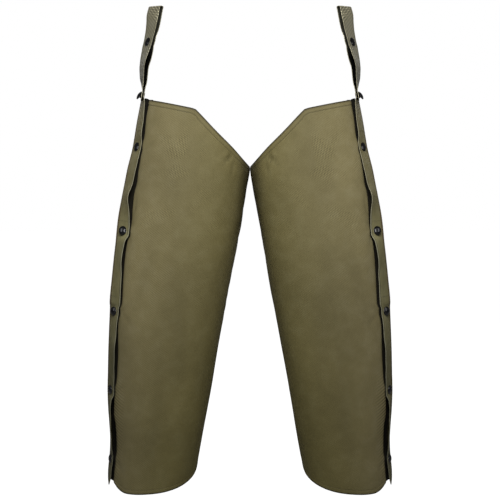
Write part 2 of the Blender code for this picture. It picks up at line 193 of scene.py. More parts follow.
# %% [markdown]
# A stud clamps two layers of stiff cloth, which stay flat round it.  So a level near a stud is
# held at the stud's own level before the tables are read, and let go again with distance.

# %% Hold a level at a stud
STUD_SEAT, SEAT_FLAT = 9.0, 5.0        # half the clamped length, and its fully flat part


def smooth_step(value, low, high):
    """0 below low, 1 above high, and a soft S between them."""
    t = np.clip((value - low) / (high - low), 0.0, 1.0)
    return t * t * (3 - 2 * t)


def seated(z, studs=tuple(PLACKET_STUDS.values())):
    """A level, held at the stud that it is close to."""
    z = np.asarray(z, float)
    reach = 2 * STUD_SEAT
    slope = (reach - SEAT_FLAT) / reach
    for stud in studs:
        distance = z - stud
        share = np.clip((abs(distance) - SEAT_FLAT) / (reach - SEAT_FLAT), 0, 1)
        held = reach * ((3 - slope) * share ** 2 + (slope - 2) * share ** 3)
        z = np.where(abs(distance) < reach, stud + np.sign(distance) * held, z)
    return z


print("3 mm over the hip's stud reads as", round(float(seated(-294.0)), 1))

# %% [markdown]
# ### Sections
# The leg hangs open, so its section is rounder than a flat fold and squarer than an ellipse.  A
# superellipse gives that with one power.  A point of a section is one complex number,
# out + y * 1j.  A direction is a complex number too, so turning and adding points is plain
# arithmetic on whole arrays.

# %% Sections of the leg
OVAL_POWER = 2.3
CROTCH = (0.4, -338.9)                 # out and z of the lowest point of the top edge in front
INSEAM_TOP, INSEAM_SPLAY = -351.0, 0.1805


def inner_side(z):
    """out of the leg's inner side."""
    return CROTCH[0] + np.maximum(0.0, INSEAM_TOP - z) * INSEAM_SPLAY


def oval(z):
    """Middle and half sizes of the leg's section: out, y, half width, half depth."""
    outer, inner = closure["out"](z), inner_side(z)
    return (outer + inner) / 2, leg["centre_y"](z), (outer - inner) / 2, leg["depth"](z)


def front_y(z, out):
    """y of the leg's front at a distance out."""
    middle, centre_y, half_width, depth = oval(z)
    share = np.minimum(1.0, abs(out - middle) / half_width)
    return centre_y - depth * (1 - share ** OVAL_POWER) ** (1 / OVAL_POWER)


def oval_point(z, degrees):
    """A point of the section; 0 is the outer side, 90 the back, 180 the inner side."""
    middle, centre_y, half_width, depth = oval(z)
    c, s = np.cos(np.radians(degrees)), np.sin(np.radians(degrees))
    out = middle + half_width * np.sign(c) * abs(c) ** (2 / OVAL_POWER)
    return out + 1j * (centre_y + depth * np.sign(s) * abs(s) ** (2 / OVAL_POWER))


ring = oval_point(-643.5, np.arange(0, 360, 5))
print("leg at the knee:", round(float(np.ptp(ring.real))), "x",
      round(float(np.ptp(ring.imag))), "mm")

# %% [markdown]
# ### The closure
# On the real chaps the panel's front edge lies flat under the studs, dips away behind its
# visible fold, and comes up to the front of the leg.  The dip is what makes the dark line
# beside the placket, so it has its own guides here instead of one smooth bend.

# %% Placket, lap, dip and fold
LAP_END, LAP_WIDTH = 14.0, 16.0        # the panel's flat front edge under the studs
LAP_SINK, STUD_DIP = 0.5, 4.0
TUCK_LINE, FOLD_REACH = 40.0, 8.0


def facing(turn):
    """Directions of a strip: across it to its front edge, and out of its face."""
    direction = np.exp(1j * np.radians(turn))
    return -direction, -1j * direction


def back_edge(z):
    """The placket's back edge: its y sets the cloth under it tangent to the leg."""
    across, outward = facing(closure["base"](seated(z)))
    sunk = CLOTH_WALL + STUD_STACK
    out = closure["out"](z)
    touch = out + STRIP_WIDTH * across.real - sunk * outward.real
    return out + 1j * (front_y(z, touch) - STRIP_WIDTH * across.imag + sunk * outward.imag)


def strip_point(z, distance, sunk=0.0):
    """A point of the placket's outer face, or under it."""
    across, outward = facing(closure["turn"](seated(z)))
    return back_edge(z) + distance * across - sunk * outward


def lap_point(z, distance, dip=None):
    """A point of the panel where it passes under the placket; the lap sinks to the dip."""
    level = seated(z)
    across, outward = facing(closure["base"](level))
    if dip is None:
        sunk = np.maximum(0.0, closure["tuck"](level) - STUD_DIP) * LAP_SINK
        dip = sunk * (distance - LAP_END) / LAP_WIDTH
    return back_edge(z) + distance * across - (CLOTH_WALL + STUD_STACK + dip) * outward


def fold_points(z):
    """Guides of the dip and the fold at the panel's visible edge."""
    level = seated(z)
    fold = closure["fold"](level)
    bottom = lap_point(z, TUCK_LINE, closure["tuck"](level))
    end_out = fold - FOLD_REACH
    end = end_out + 1j * front_y(z, end_out)
    ahead = 1.0 + 1j * (front_y(z, end_out + 1.0) - end.imag)
    corner_out = (2 * fold - 0.25 * bottom.real - 0.5 * end_out) / 1.25
    return bottom, end + ahead * (corner_out - end_out), end


def rounded(start, guide, end, t):
    """A point of the curve that leaves start and reaches end along a guide."""
    return start * (1 - t) ** 2 + guide * 2 * t * (1 - t) + end * t * t


print("stud line at the hip:", np.round(strip_point(-297.0, STUD_LINE), 1))

# %% [markdown]
# ### The panel's way round the leg
# The panel starts under the studs, dips behind its visible fold, crosses the front, passes the
# inner side and the back, and ends sewn under the placket.  Each stretch is one function of
# height and of t, which runs from 0 to 1 along it, so a stretch can have as many columns as its
# bend needs.

# %% Stretches of the panel
SEAM_WIDTH = 7.0
SIDE_HANDLE = 0.56                     # how far the side's curve runs straight at its ends


def lap_station(z, t):
    return lap_point(z, LAP_END + LAP_WIDTH * t)


def tuck_station(z, t):
    bottom, corner, _ = fold_points(z)
    return rounded(lap_point(z, LAP_END + LAP_WIDTH), bottom, (bottom + corner) / 2, t)


def fold_station(z, t):
    bottom, corner, end = fold_points(z)
    return rounded((bottom + corner) / 2, corner, end, t)


def front_outer_station(z, t):
    middle, _, half_width, _ = oval(z)
    share = (fold_points(z)[2].real - middle) / half_width
    first = 360 - np.degrees(np.arccos(share ** (OVAL_POWER / 2)))
    return oval_point(z, first + (270 - first) * t)


def front_inner_station(z, t):
    return oval_point(z, 270 - 90 * t)


def back_station(z, t):
    return oval_point(z, 180 - 90 * t)


def side_station(z, t):
    start, end = oval_point(z, 90), strip_point(z, 0.0, CLOTH_WALL + SEAM_GAP)
    handle_a = start + SIDE_HANDLE * (end.real - start.real)
    handle_b = end + 1j * SIDE_HANDLE * (start.imag - end.imag)
    return (start * (1 - t) ** 3 + handle_a * 3 * t * (1 - t) ** 2
            + handle_b * 3 * t * t * (1 - t) + end * t ** 3)


def seam_station(z, t):
    return strip_point(z, SEAM_WIDTH * t, CLOTH_WALL + SEAM_GAP)


# free: how far the cloth's top and bottom are free, at the start and end of the stretch,
# of the placket's own top and bottom levels
Stretch = namedtuple("Stretch", "place steps free_start free_end")
STRETCHES = (
    Stretch(lap_station, 6, 0.0, 0.0),
    Stretch(tuck_station, 11, 0.0, 0.5),
    Stretch(fold_station, 14, 0.5, 1.0),
    Stretch(front_outer_station, 24, 1.0, 1.0),
    Stretch(front_inner_station, 38, 1.0, 1.0),
    Stretch(back_station, 22, 1.0, 1.0),
    Stretch(side_station, 22, 1.0, 0.0),
    Stretch(seam_station, 2, 0.0, 0.0),
)
FOLD_COLUMN, FRONT_MIDDLE = (sum(s.steps for s in STRETCHES[:n]) for n in (2, 4))
print("panel:", sum(s.steps for s in STRETCHES) + 1, "columns, the front's middle at", FRONT_MIDDLE)

# %% [markdown]
# ### Top edge and hem
# The photograph shows a level waist edge, a corner, and a straight slope down to the crotch.
# Both lines are planes seen from the front, and the lower of the two counts at each point, with
# a soft corner between them.  The hem is a plane that is tilted to the back, which reads as the
# rounded lower line of the picture.

# %% Top edge and hem
WAIST_CORNER, WAIST_SLOPE = (117.9, -219.8), 0.2055
CROTCH_SLOPE = 1.062
CORNER_SOFTNESS, BACK_DROP = 0.8, 14.0
FULL_MIDDLE, FULL_REACH, FULL_HEIGHT = 36.0, 22.0, 2.2     # the slope is a little full here
HEM_MIDDLE = (218.0, 62.0, -1019.2)
HEM_SLOPE_OUT, HEM_SLOPE_BACK = -0.071, 0.269
HEM_LIFT, HEM_LIFT_REACH = 15.0, 34.0  # the hem turns up beside the closure


def top_edge(point, z):
    """Height of the panel's top edge at a point of its section."""
    out, y = point.real, point.imag
    rise = CROTCH[1] + CROTCH_SLOPE * (out - CROTCH[0])
    rise = rise + FULL_HEIGHT * np.exp(-((out - FULL_MIDDLE) / FULL_REACH) ** 2)
    waist = np.minimum(LEG_TOP, WAIST_CORNER[1] + WAIST_SLOPE * (out - WAIST_CORNER[0]))
    low, high = np.minimum(rise, waist), np.maximum(rise, waist)
    edge = low - CORNER_SOFTNESS * np.exp((low - high) / (4 * CORNER_SOFTNESS))
    _, centre_y, _, depth = oval(z)
    behind = smooth_step(y, centre_y - 0.2 * depth, centre_y + 0.7 * depth)
    return edge - BACK_DROP * (behind * smooth_step(out, 0.0, 40.0))


def hem_edge(point, z):
    """Height of the hem at a point of the section."""
    middle_out, middle_y, middle_z = HEM_MIDDLE
    beside = np.clip(1 - (closure["fold"](z) - point.real) / HEM_LIFT_REACH, 0.0, 1.0)
    _, centre_y, _, depth = oval(z)
    in_front = 1 - smooth_step(point.imag, centre_y - 0.3 * depth, centre_y)
    lift = HEM_LIFT * beside ** 2 * in_front
    return (middle_z + lift + HEM_SLOPE_OUT * (point.real - middle_out)
            + HEM_SLOPE_BACK * (point.imag - middle_y))


def settled_level(place, t, edge, level, free):
    """The level of a column's end, where the edge's height depends on the place."""
    z = level
    for _ in range(16):
        z = level + (edge(place(z, t), z) - level) * free
    return float(z)


hem_in_front = settled_level(front_inner_station, 0.0, hem_edge, LEG_HEM, 1.0)
print("hem in the middle of the front:", round(hem_in_front, 1))

# %% [markdown]
# ### The grid
# The panel is a grid of columns down the leg.  A turned hem is 10 mm deep, with a line of
# stitches that pulls a fine groove into it, so the rows lie close together there and a few
# millimetres apart in between.  That keeps the mesh small where the cloth is plain.  Where the
# edge runs up at a slope, the same depth across the hem is a longer way down the column.

# %% The grid of the panel
HEM_DEPTH = 10.0
BAND = np.array([0.0, 0.7, 1.8, 3.2, 5.0, 7.0, 8.5, 9.3, 10.0, 10.7, 11.5, 13.2, 16.0])
MIDDLE_ROWS = 172
STEEPEST = 1.7                         # the most that a slope stretches the hem's depth
LAP_RISE = 4.0                         # the top edge stands up a little behind the placket


def panel_columns():
    """(place, t, top, low) for each column of the panel."""
    columns = []
    for place, steps, free_start, free_end in STRETCHES:
        for k in range(1 if columns else 0, steps + 1):
            t = k / steps
            free = free_start + (free_end - free_start) * t
            top = settled_level(place, t, top_edge, LEG_TOP, free)
            if place is lap_station:
                top += LAP_RISE * (1 - t * t)
            columns.append((place, t, top, settled_level(place, t, hem_edge, LEG_HEM, free)))
    return columns


def slant(columns, ends):
    """How much longer than its depth the hem is down each column."""
    spots = np.array([place(z, t) for (place, t, _, _), z in zip(columns, ends)])
    walk = np.concatenate([[0.0], np.cumsum(abs(np.diff(spots)))])
    return np.clip(np.hypot(1.0, np.gradient(ends, walk)), 1.0, STEEPEST)


def panel_grid():
    """Points (out, y, z) of the panel's outer face and their distance from top edge and hem."""
    columns = panel_columns()
    slants = [slant(columns, np.array([c[i] for c in columns])) for i in (2, 3)]
    points, distance = [], []
    for (place, t, top, low), top_slant, low_slant in zip(columns, *slants):
        upper, lower = top - BAND * top_slant, low + BAND[::-1] * low_slant
        middle = np.linspace(upper[-1], lower[0], MIDDLE_ROWS + 2)[1:-1]
        z = np.concatenate([upper, middle, lower])
        spot = place(z, t)
        points.append(np.stack([spot.real, spot.imag, z], axis=1))
        distance.append(np.minimum((top - z) / top_slant, (z - low) / low_slant))
    return np.stack(points, axis=1), np.stack(distance, axis=1)


panel_form, panel_edge = panel_grid()
print("panel grid:", panel_form.shape[:2], "points")

# %% [markdown]
# Two things are asked of every grid: which way the cloth faces at each point, to lift relief
# off it, and how far it is along the cloth, to place creases and weave at their real size.


# %% Directions and walks on a grid
def grid_normals(points):
    """Unit directions out of a grid's face."""
    across, down = np.gradient(points, axis=1), np.gradient(points, axis=0)
    normals = np.cross(across, down)
    return normals / np.linalg.norm(normals, axis=2, keepdims=True)


def walk_across(points, start):
    """How far each point of a grid is from its start column, along the cloth."""
    steps = np.linalg.norm(np.diff(points, axis=1), axis=2)
    walk = np.concatenate([np.zeros((len(points), 1)), np.cumsum(steps, axis=1)], axis=1)
    return walk - walk[:, start:start + 1]


panel_walk = walk_across(panel_form, FRONT_MIDDLE)
print("widest round:", round(float(np.ptp(panel_walk, axis=1).max())), "mm of cloth")

# %% [markdown]
# ### Creases
# The cloth is stiff, so it shows few folds: pulls at the studs, puckers beside the crotch,
# and soft creases at the inside of the thigh and behind the knee, which the photograph does
# not show but every such leg has.  Noise would crumple it evenly all over.  So each crease is
# placed one by one as a trough with low ridges at its sides.  "round" is the way round from the
# middle of the front, towards the inner side.

# %% Creases one by one
Crease = namedtuple("Crease", "round z lean length width depth")
CREASES = tuple(Crease(*row) for row in (
    # beside the studs, on the visible fold
    (-104, -462, 35, 22, 5, 1.1), (-106, -484, -30, 20, 5, 0.9), (-101, -428, 4, 26, 6, 1.2),
    (-92, -300, 60, 20, 5, 0.8), (-98, -640, 65, 20, 6, 0.9), (-86, -655, -55, 22, 6, 0.7),
    (-88, -812, 58, 20, 5, 0.8), (-78, -986, -52, 22, 6, 0.8),
    # puckers under the sloping top edge; a depth below 0 is a ridge
    (111, -321, 42, 8, 4.0, 6.0), (102, -312, 50, 8, 4.2, -2.6), (96, -330, 24, 10, 3.8, 1.8),
    (122, -342, 14, 16, 4.6, 1.8), (36, -284, 48, 14, 4.0, 0.9),
    # long soft troughs of the front
    (-52, -560, 8, 120, 22, 0.9), (38, -700, -6, 130, 24, 1.0),
    (4, -880, 5, 90, 20, 0.8), (-24, -370, -10, 80, 20, 0.7),
    # the inside of the thigh and of the knee
    (206, -420, 24, 55, 10, 2.0), (218, -470, 34, 52, 11, 2.4), (230, -398, 12, 48, 9, 1.8),
    (222, -628, 78, 28, 9, 2.0), (228, -668, 98, 30, 10, 2.2), (214, -860, -20, 60, 12, 1.6),
    # behind the knee and the thigh
    (300, -600, 82, 64, 9, 3.6), (322, -634, 97, 72, 10, 4.0), (288, -668, 88, 60, 9, 3.2),
    (346, -578, 70, 50, 8, 2.8), (352, -662, 104, 46, 8, 2.6), (270, -556, 74, 44, 9, 2.2),
    (296, -352, 62, 70, 12, 3.0), (340, -404, 48, 66, 11, 2.8), (286, -438, 70, 48, 10, 2.2),
    (262, -800, 14, 90, 15, 2.4), (330, -880, -12, 84, 14, 2.2), (300, -940, 20, 60, 12, 1.8),
    (372, -742, 8, 80, 13, 2.4), (386, -486, -14, 70, 12, 2.4), (250, -700, -24, 70, 13, 2.2),
    (412, -300, 30, 50, 9, 1.6), (404, -816, 24, 54, 10, 1.8), (400, -640, 60, 48, 9, 1.9),
))
HIDDEN_ROUND = 130         # creases further round than this can't be seen from the front


def side_creases(name):
    """The creases of one leg: the hidden ones lie a little differently on the left leg."""
    if name == "right":
        return CREASES
    return [c if c.round < HIDDEN_ROUND
            else c._replace(round=c.round + 14, z=c.z - 24 + c.lean / 6, lean=c.lean - 8)
            for c in CREASES]


def crease_depth(round_mm, z, creases):
    """How far the cloth lies in at each point of the grid, in millimetres."""
    depth = np.zeros_like(z)
    for crease in creases:
        c, s = math.cos(math.radians(crease.lean)), math.sin(math.radians(crease.lean))
        along = (z - crease.z) * c + (round_mm - crease.round) * s
        aside = ((round_mm - crease.round) * c - (z - crease.z) * s) / crease.width
        bent = aside + 0.5 * (along / crease.length) ** 2
        shape = 1.35 * np.exp(-bent ** 2) - 0.5 * np.exp(-(bent / 2.3) ** 2)
        depth += crease.depth * shape * np.exp(-(along / crease.length) ** 2)
    return depth


print("creases:", len(CREASES))

# %% [markdown]
# Between the creases even stiff cloth is never quite flat.  A few long sine waves with random
# directions give a slow unevenness, about one millimetre high, with a fixed seed for each leg.

# %% Slow unevenness
WAVES = ((210, 0.45), (140, 0.35), (90, 0.22), (58, 0.12))      # (length, height)


def ripple(round_mm, z, seed):
    draw = np.random.default_rng(seed)
    height = np.zeros_like(z)
    for length, size in WAVES:
        for _ in range(3):
            turn, phase = draw.uniform(-0.9, 0.9), draw.uniform(0, 2 * math.pi)
            way = round_mm * math.cos(turn) + z * math.sin(turn) * 0.6
            height += size * np.sin(2 * math.pi * way / length + phase)
    return height


print("waves:", len(WAVES) * 3)

# %% [markdown]
# ### The panel's face
# Creases and unevenness are added to the form, but the hidden ends of the panel stay calm,
# because they are clamped by the studs and sewn under the placket.  Near an edge the turned
# hem holds the cloth straight.  The hem is also a soft ridge with the groove of its stitches,
# and it is thicker, as three layers of cloth lie there.

# %% The panel's faces
LAST_FLAT = 2                          # columns of the seam at the panel's back edge


def hem_relief(distance):
    """A turned hem's soft ridge and the groove that its stitches pull."""
    inside = 1 - smooth_step(distance, HEM_DEPTH - 1.5, HEM_DEPTH + 1.5)
    groove = 0.42 * np.exp(-((distance - HEM_DEPTH) / 0.9) ** 2)
    return 0.45 * smooth_step(distance, 0.0, 2.5) * inside - groove


def panel_face(name, seed):
    """The outer face with its creases, and its thickness at each point."""
    z = panel_form[:, :, 2]
    column = np.arange(panel_form.shape[1])
    last = column[-1]
    calm = smooth_step(column, 6, FOLD_COLUMN + 6)
    calm = calm * (1 - smooth_step(column, last - 12, last - LAST_FLAT))
    keep_edge = 0.15 + 0.85 * smooth_step(panel_edge, 0.0, 26.0)
    sunk = crease_depth(panel_walk, z, side_creases(name))
    move = (ripple(panel_walk, z, seed) - sunk) * calm * keep_edge
    relief = hem_relief(panel_edge) * smooth_step(column, 6, 16)
    face = panel_form + grid_normals(panel_form) * (move + relief)[:, :, None]
    hem = 1 - smooth_step(panel_edge, HEM_DEPTH + 0.5, HEM_DEPTH + 2.5)
    flat = 1 - smooth_step(column, 6, 10) + smooth_step(column, last - 4, last - LAST_FLAT)
    return face, 1.1 + 0.7 * hem * (1 - flat) + 0.3 * flat


panel_faces = {name: panel_face(name, seed) for name, seed in (("right", 4), ("left", 9))}
print("panel's thickest:", round(float(panel_faces["left"][1].max()), 2), "mm")

# %% [markdown]
# ## Making a wall of cloth
# A sheet of cloth has two faces and a rounded edge.  The Solidify modifier can add the second
# face, but here the hems are thicker than the rest, so the wall is built directly: a grid for
# each face, and three narrow rows that turn round the edge between them.  The grid's own
# distances become the UV map, in metres, so a weave follows the cloth at its real scale.

# %% Rims and faces of a wall
RIM_TURNS = np.radians([45, 90, 135])


def border(rows, columns):
    """Indices round a grid's border, and the outward direction's share of across and down."""
    line = [(0, c, 0, -1) for c in range(columns)]
    line += [(r, columns - 1, 1, 0) for r in range(1, rows)]
    line += [(rows - 1, c, 0, 1) for c in range(columns - 2, -1, -1)]
    line += [(r, 0, -1, 0) for r in range(rows - 2, 0, -1)]
    return np.array(line)


def wall_points(face, thickness, line):
    """The points of both faces and of the rows that turn round the edge."""
    normals = grid_normals(face)
    back = face - normals * thickness[:, :, None]
    r, c = line[:, 0], line[:, 1]
    across, down = np.gradient(face, axis=1)[r, c], np.gradient(face, axis=0)[r, c]
    away = across * line[:, 2:3] + down * line[:, 3:4]
    away /= np.linalg.norm(away, axis=1, keepdims=True)
    half = (thickness / 2)[r, c][:, None]
    middle = face[r, c] - normals[r, c] * half
    rims = [middle + half * (normals[r, c] * math.cos(a) + away * math.sin(a)) for a in RIM_TURNS]
    return np.concatenate([face.reshape(-1, 3), back.reshape(-1, 3), *rims])


def wall_faces(rows, columns, line):
    """Four corners for each face, first the outside, then the inside, then the turned edge."""
    r, c = line[:, 0], line[:, 1]
    count, around = rows * columns, len(line)
    index = np.arange(count).reshape(rows, columns)
    corners = [index[:-1, :-1], index[:-1, 1:], index[1:, 1:], index[1:, :-1]]
    outside = np.stack(corners, axis=-1).reshape(-1, 4)
    rings = [2 * count + around * k + np.arange(around) for k in range(len(RIM_TURNS))]
    rings = [index[r, c], *rings, index[r, c] + count]
    turned_edge = [np.stack([np.roll(a, -1), a, b, np.roll(b, -1)], axis=-1)
                   for a, b in zip(rings, rings[1:])]
    return outside, outside[:, ::-1] + count, np.concatenate(turned_edge)


print("rim rows:", len(RIM_TURNS))

# %% [markdown]
# The same call makes a panel, a placket or a loop.  The right side's mesh is the mirror of the
# left, so its corners are taken in the other order and its faces still point outwards.  Each
# point keeps its distance from the edge, for the materials, and a panel also keeps its mask of
# painted shade, which darkens its colour where it is shut off from the light.


# %% A wall from a grid
def add_values(mesh, name, values):
    """Store one number for each point."""
    mark = mesh.attributes.new(name, "FLOAT", "POINT")
    mark.data.foreach_set("value", values.astype(np.float32))


def cloth_wall(name, face, thickness, uv, edge, side, materials, tucked=None):
    """A closed wall of cloth inward from a grid of points on its outer face."""
    line = border(*face.shape[:2])
    r, c = line[:, 0], line[:, 1]
    outside, inside, turned_edge = wall_faces(*face.shape[:2], line)
    faces = np.concatenate([outside, inside, turned_edge])
    if side < 0:
        faces = faces[:, ::-1]
    points = wall_points(face, thickness, line) * MM * np.array([side, 1, 1])
    mesh = bpy.data.meshes.new(name)
    mesh.from_pydata(points.tolist(), [], faces.tolist())
    rims = len(RIM_TURNS)
    vertex_uv = np.concatenate([uv.reshape(-1, 2)] * 2 + [uv[r, c]] * rims) * MM
    corner = np.empty(len(mesh.loops), np.int32)
    mesh.loops.foreach_get("vertex_index", corner)
    layer = mesh.uv_layers.new(name="cloth")
    layer.data.foreach_set("uv", vertex_uv[corner].astype(np.float32).ravel())
    add_values(mesh, "edge_mm", np.concatenate([edge.ravel()] * 2 + [edge[r, c] * 0] * rims))
    if tucked is not None:
        add_values(mesh, "tucked", np.concatenate([tucked.ravel()] * 2 + [tucked[r, c]] * rims))
    for material in materials:
        mesh.materials.append(material)
    kinds = np.zeros(len(faces), np.int32)
    kinds[len(outside):2 * len(outside)] = 1
    mesh.polygons.foreach_set("material_index", kinds)
    mesh.shade_smooth()
    mesh.update()
    return put_in_scene(name, mesh)


print("a wall has 2 faces and", len(RIM_TURNS) + 1, "rows of faces round its edge")

# %% [markdown]
# ## Materials
# The real cloth is a coated canvas with a diagonal rib.  A photograph of it could be laid on,
# but it would carry that photograph's light, so nodes draw it.  Long formulas of Math nodes are
# hard to read, so a small class stands for what a socket puts out, and plain arithmetic on it
# adds the nodes.


# %% A node, and arithmetic on its output
def add(tree, kind, inputs=None, out=0, **settings):
    """Add a node and give one of its outputs.  An input is a plain value or a signal."""
    node = tree.nodes.new(kind)
    for name, value in settings.items():
        setattr(node, name, value)
    for key, value in (inputs or {}).items():
        if isinstance(value, Signal):
            tree.links.new(value.socket, node.inputs[key])
        else:
            node.inputs[key].default_value = value
    return Signal(tree, node.outputs[out]) if len(node.outputs) else node


class Signal:
    """What a socket puts out.  Arithmetic on it adds Math nodes to its tree."""

    def __init__(self, tree, socket):
        self.tree, self.socket = tree, socket

    def math(self, operation, *values):
        return add(self.tree, "ShaderNodeMath", dict(enumerate(values)), operation=operation)

    def beside(self, out):
        """Another output of the same node."""
        return Signal(self.tree, self.socket.node.outputs[out])

    def __add__(self, other):
        return self.math("ADD", self, other)

    def __sub__(self, other):
        return self.math("SUBTRACT", self, other)

    def __rsub__(self, other):
        return self.math("SUBTRACT", other, self)

    def __mul__(self, other):
        return self.math("MULTIPLY", self, other)

    def __truediv__(self, other):
        return self.math("DIVIDE", self, other)

    def __rtruediv__(self, other):
        return self.math("DIVIDE", other, self)

    def larger(self, other):
        return self.math("MAXIMUM", self, other)

    def sine(self):
        return self.math("SINE", self)

    def cosine(self):
        return self.math("COSINE", self)

    def bell(self):
        """1 where the signal is 0, and softly down to 0 on both sides."""
        return self.math("EXPONENT", self * self * -1.0)

    def span(self, start, end, low=0.0, high=1.0):
        """low at start, high at end, and straight in between."""
        return add(self.tree, "ShaderNodeMapRange", {
            "Value": self, "From Min": start, "From Max": end, "To Min": low, "To Max": high})


print("a signal can", ", ".join(name for name in vars(Signal) if not name.startswith("_")))


# %% Nodes that every material needs
def noise(tree, place, scale, detail):
    return add(tree, "ShaderNodeTexNoise", {"Vector": place, "Scale": scale, "Detail": detail})


def blend(tree, share, color, other):
    return add(tree, "ShaderNodeMix", {0: share, 6: color, 7: other}, out=2, data_type="RGBA")


def cloth_map(tree):
    """The UV map of a cloth, whole and as u (round or across) and v (down, below 0)."""
    uv = add(tree, "ShaderNodeUVMap", uv_map="cloth")
    u = add(tree, "ShaderNodeSeparateXYZ", {0: uv})
    return uv, u, u.beside(1)


print("a cloth's UV map is in metres")

# %% [markdown]
# What several materials share is built once as a node group with named inputs.  A group only
# gives values; the shader itself stays in the material, where the export can read it.

# %% Helpers for node groups
FLOAT, GEOMETRY = "NodeSocketFloat", "NodeSocketGeometry"
TURN = 2 * math.pi


def new_group(name, inputs, outputs, kind="ShaderNodeTree"):
    """A node group with inputs (name, type, value), as signals, and outputs (name, type)."""
    tree = bpy.data.node_groups.new(name, kind)
    for label, socket, value in inputs:
        item = tree.interface.new_socket(label, in_out="INPUT", socket_type=socket)
        if value is not None:
            item.default_value = value
    for label, socket in outputs:
        tree.interface.new_socket(label, in_out="OUTPUT", socket_type=socket)
    given, result = tree.nodes.new("NodeGroupInput"), tree.nodes.new("NodeGroupOutput")
    return tree, {s.name: Signal(tree, s) for s in given.outputs if s.name}, result


def give(result, **values):
    """Link signals to a group's outputs or to a shader's inputs, an _ standing for a space."""
    for name, value in values.items():
        value.tree.links.new(value.socket, result.inputs[name.replace("_", " ")])


def use_group(tree, group, **values):
    """Place a group in a tree with its own values; gives its outputs by name."""
    node = tree.nodes.new("ShaderNodeGroup")
    node.node_tree = group
    for name, value in values.items():
        node.inputs[name.replace("_", " ")].default_value = value
    return {socket.name: Signal(tree, socket) for socket in node.outputs}


print("a turn is", round(TURN, 3))

# %% [markdown]
# ### The weave
# Seen close, the canvas has ribs that run down across the cloth, a finer crossing of threads,
# and here and there a thicker thread.  Sine waves on the UV map draw the regular part and noise
# the uneven part.  The ribs stand out in patches, most at the top of the leg, where the coating
# is worn.


# %% Group: the weave
def make_weave():
    tree, given, result = new_group(
        "canvas_weave",
        [("Rib Pitch", FLOAT, 0.0036), ("Thread Pitch", FLOAT, 0.0011),
         ("Rib Lean", FLOAT, 0.6), ("Contrast", FLOAT, 0.12)],
        [("Height", FLOAT), ("Shade", FLOAT)])
    uv, u, v = cloth_map(tree)
    pitch, lean, fine = given["Rib Pitch"], given["Rib Lean"], given["Thread Pitch"]
    wobble = (noise(tree, uv, 60.0, 1.0) - 0.5) * 1.6
    across = u * lean.sine() + v * lean.cosine()
    against = v * lean.cosine() - u * lean.sine()
    rib = (across / pitch * TURN + wobble).sine()
    dots = rib * (against / pitch * TURN).sine()
    thread = (u / fine * TURN).sine() * (v / fine * TURN).sine()
    drawn_out = add(tree, "ShaderNodeVectorMath", {
        0: uv, 1: (900.0, 120.0, 1.0)}, operation="MULTIPLY")
    slub = noise(tree, drawn_out, 1.0, 2.0) - 0.5
    height = rib * 0.4 + (thread * 0.3 + slub * 0.9)
    worn_top = v.span(-0.70, -0.28, 0.55, 1.7)
    patch = noise(tree, uv, 19.0, 1.0).span(0.50, 0.64, 0.5, 2.2) * worn_top
    shown = height + dots * (patch - 0.5) * 0.45
    give(result, Height=height, Shade=(shown * patch * given["Contrast"]) + 1.0)
    return tree


weave_group = make_weave()
print("group:", weave_group.name)

# %% [markdown]
# ### Tone
# Coated cloth that was folded and worn is never one even colour.  Noise at three sizes gives
# slow lighter and darker areas, a mottle and fine dust, and they read Object coordinates, so
# that they don't follow the weave.


# %% Group: tone over the face
def make_tone():
    tree, given, result = new_group(
        "worn_tone", [("Patch Size", FLOAT, 0.16), ("Strength", FLOAT, 0.29)],
        [("Tone", FLOAT), ("Dust", FLOAT)])
    place = add(tree, "ShaderNodeTexCoord", out="Object")
    slow = noise(tree, place, 1.0 / given["Patch Size"], 2.0)
    middle, fine = noise(tree, place, 42.0, 3.0), noise(tree, place, 260.0, 2.0)
    total = slow * 0.5 + (middle * 0.32 + fine * 0.18)
    swing = (total - 0.5) * (given["Strength"] * 3.0)
    give(result, Tone=swing + 1.0, Dust=middle.span(0.45, 0.75))
    return tree


tone_group = make_tone()
print("group:", tone_group.name)

# %% [markdown]
# ### Marks of a turned edge
# Along a turned edge a band is painted lighter, a painted highlight on the placket and the loop,
# and darker on the panel, and a darker painted shade lies in the groove that its stitches pull
# into the cloth.  Both lie at a fixed distance from the edge, which each point of the mesh keeps,
# so they follow the slopes and corners of the cut by themselves.


# %% Group: marks of a turned edge
def make_edge_marks():
    tree, given, result = new_group(
        "edge_marks",
        [("Stitch Line", FLOAT, 10.0), ("Rim Width", FLOAT, 1.4), ("Stitch Width", FLOAT, 1.1)],
        [("Rim", FLOAT), ("Sunk", FLOAT)])
    edge = add(tree, "ShaderNodeAttribute", out="Fac", attribute_name="edge_mm")
    off = (edge - given["Stitch Line"]) / given["Stitch Width"]
    give(result, Rim=(edge / given["Rim Width"]).bell(), Sunk=off.bell())
    return tree


edge_group = make_edge_marks()
print("group:", edge_group.name)
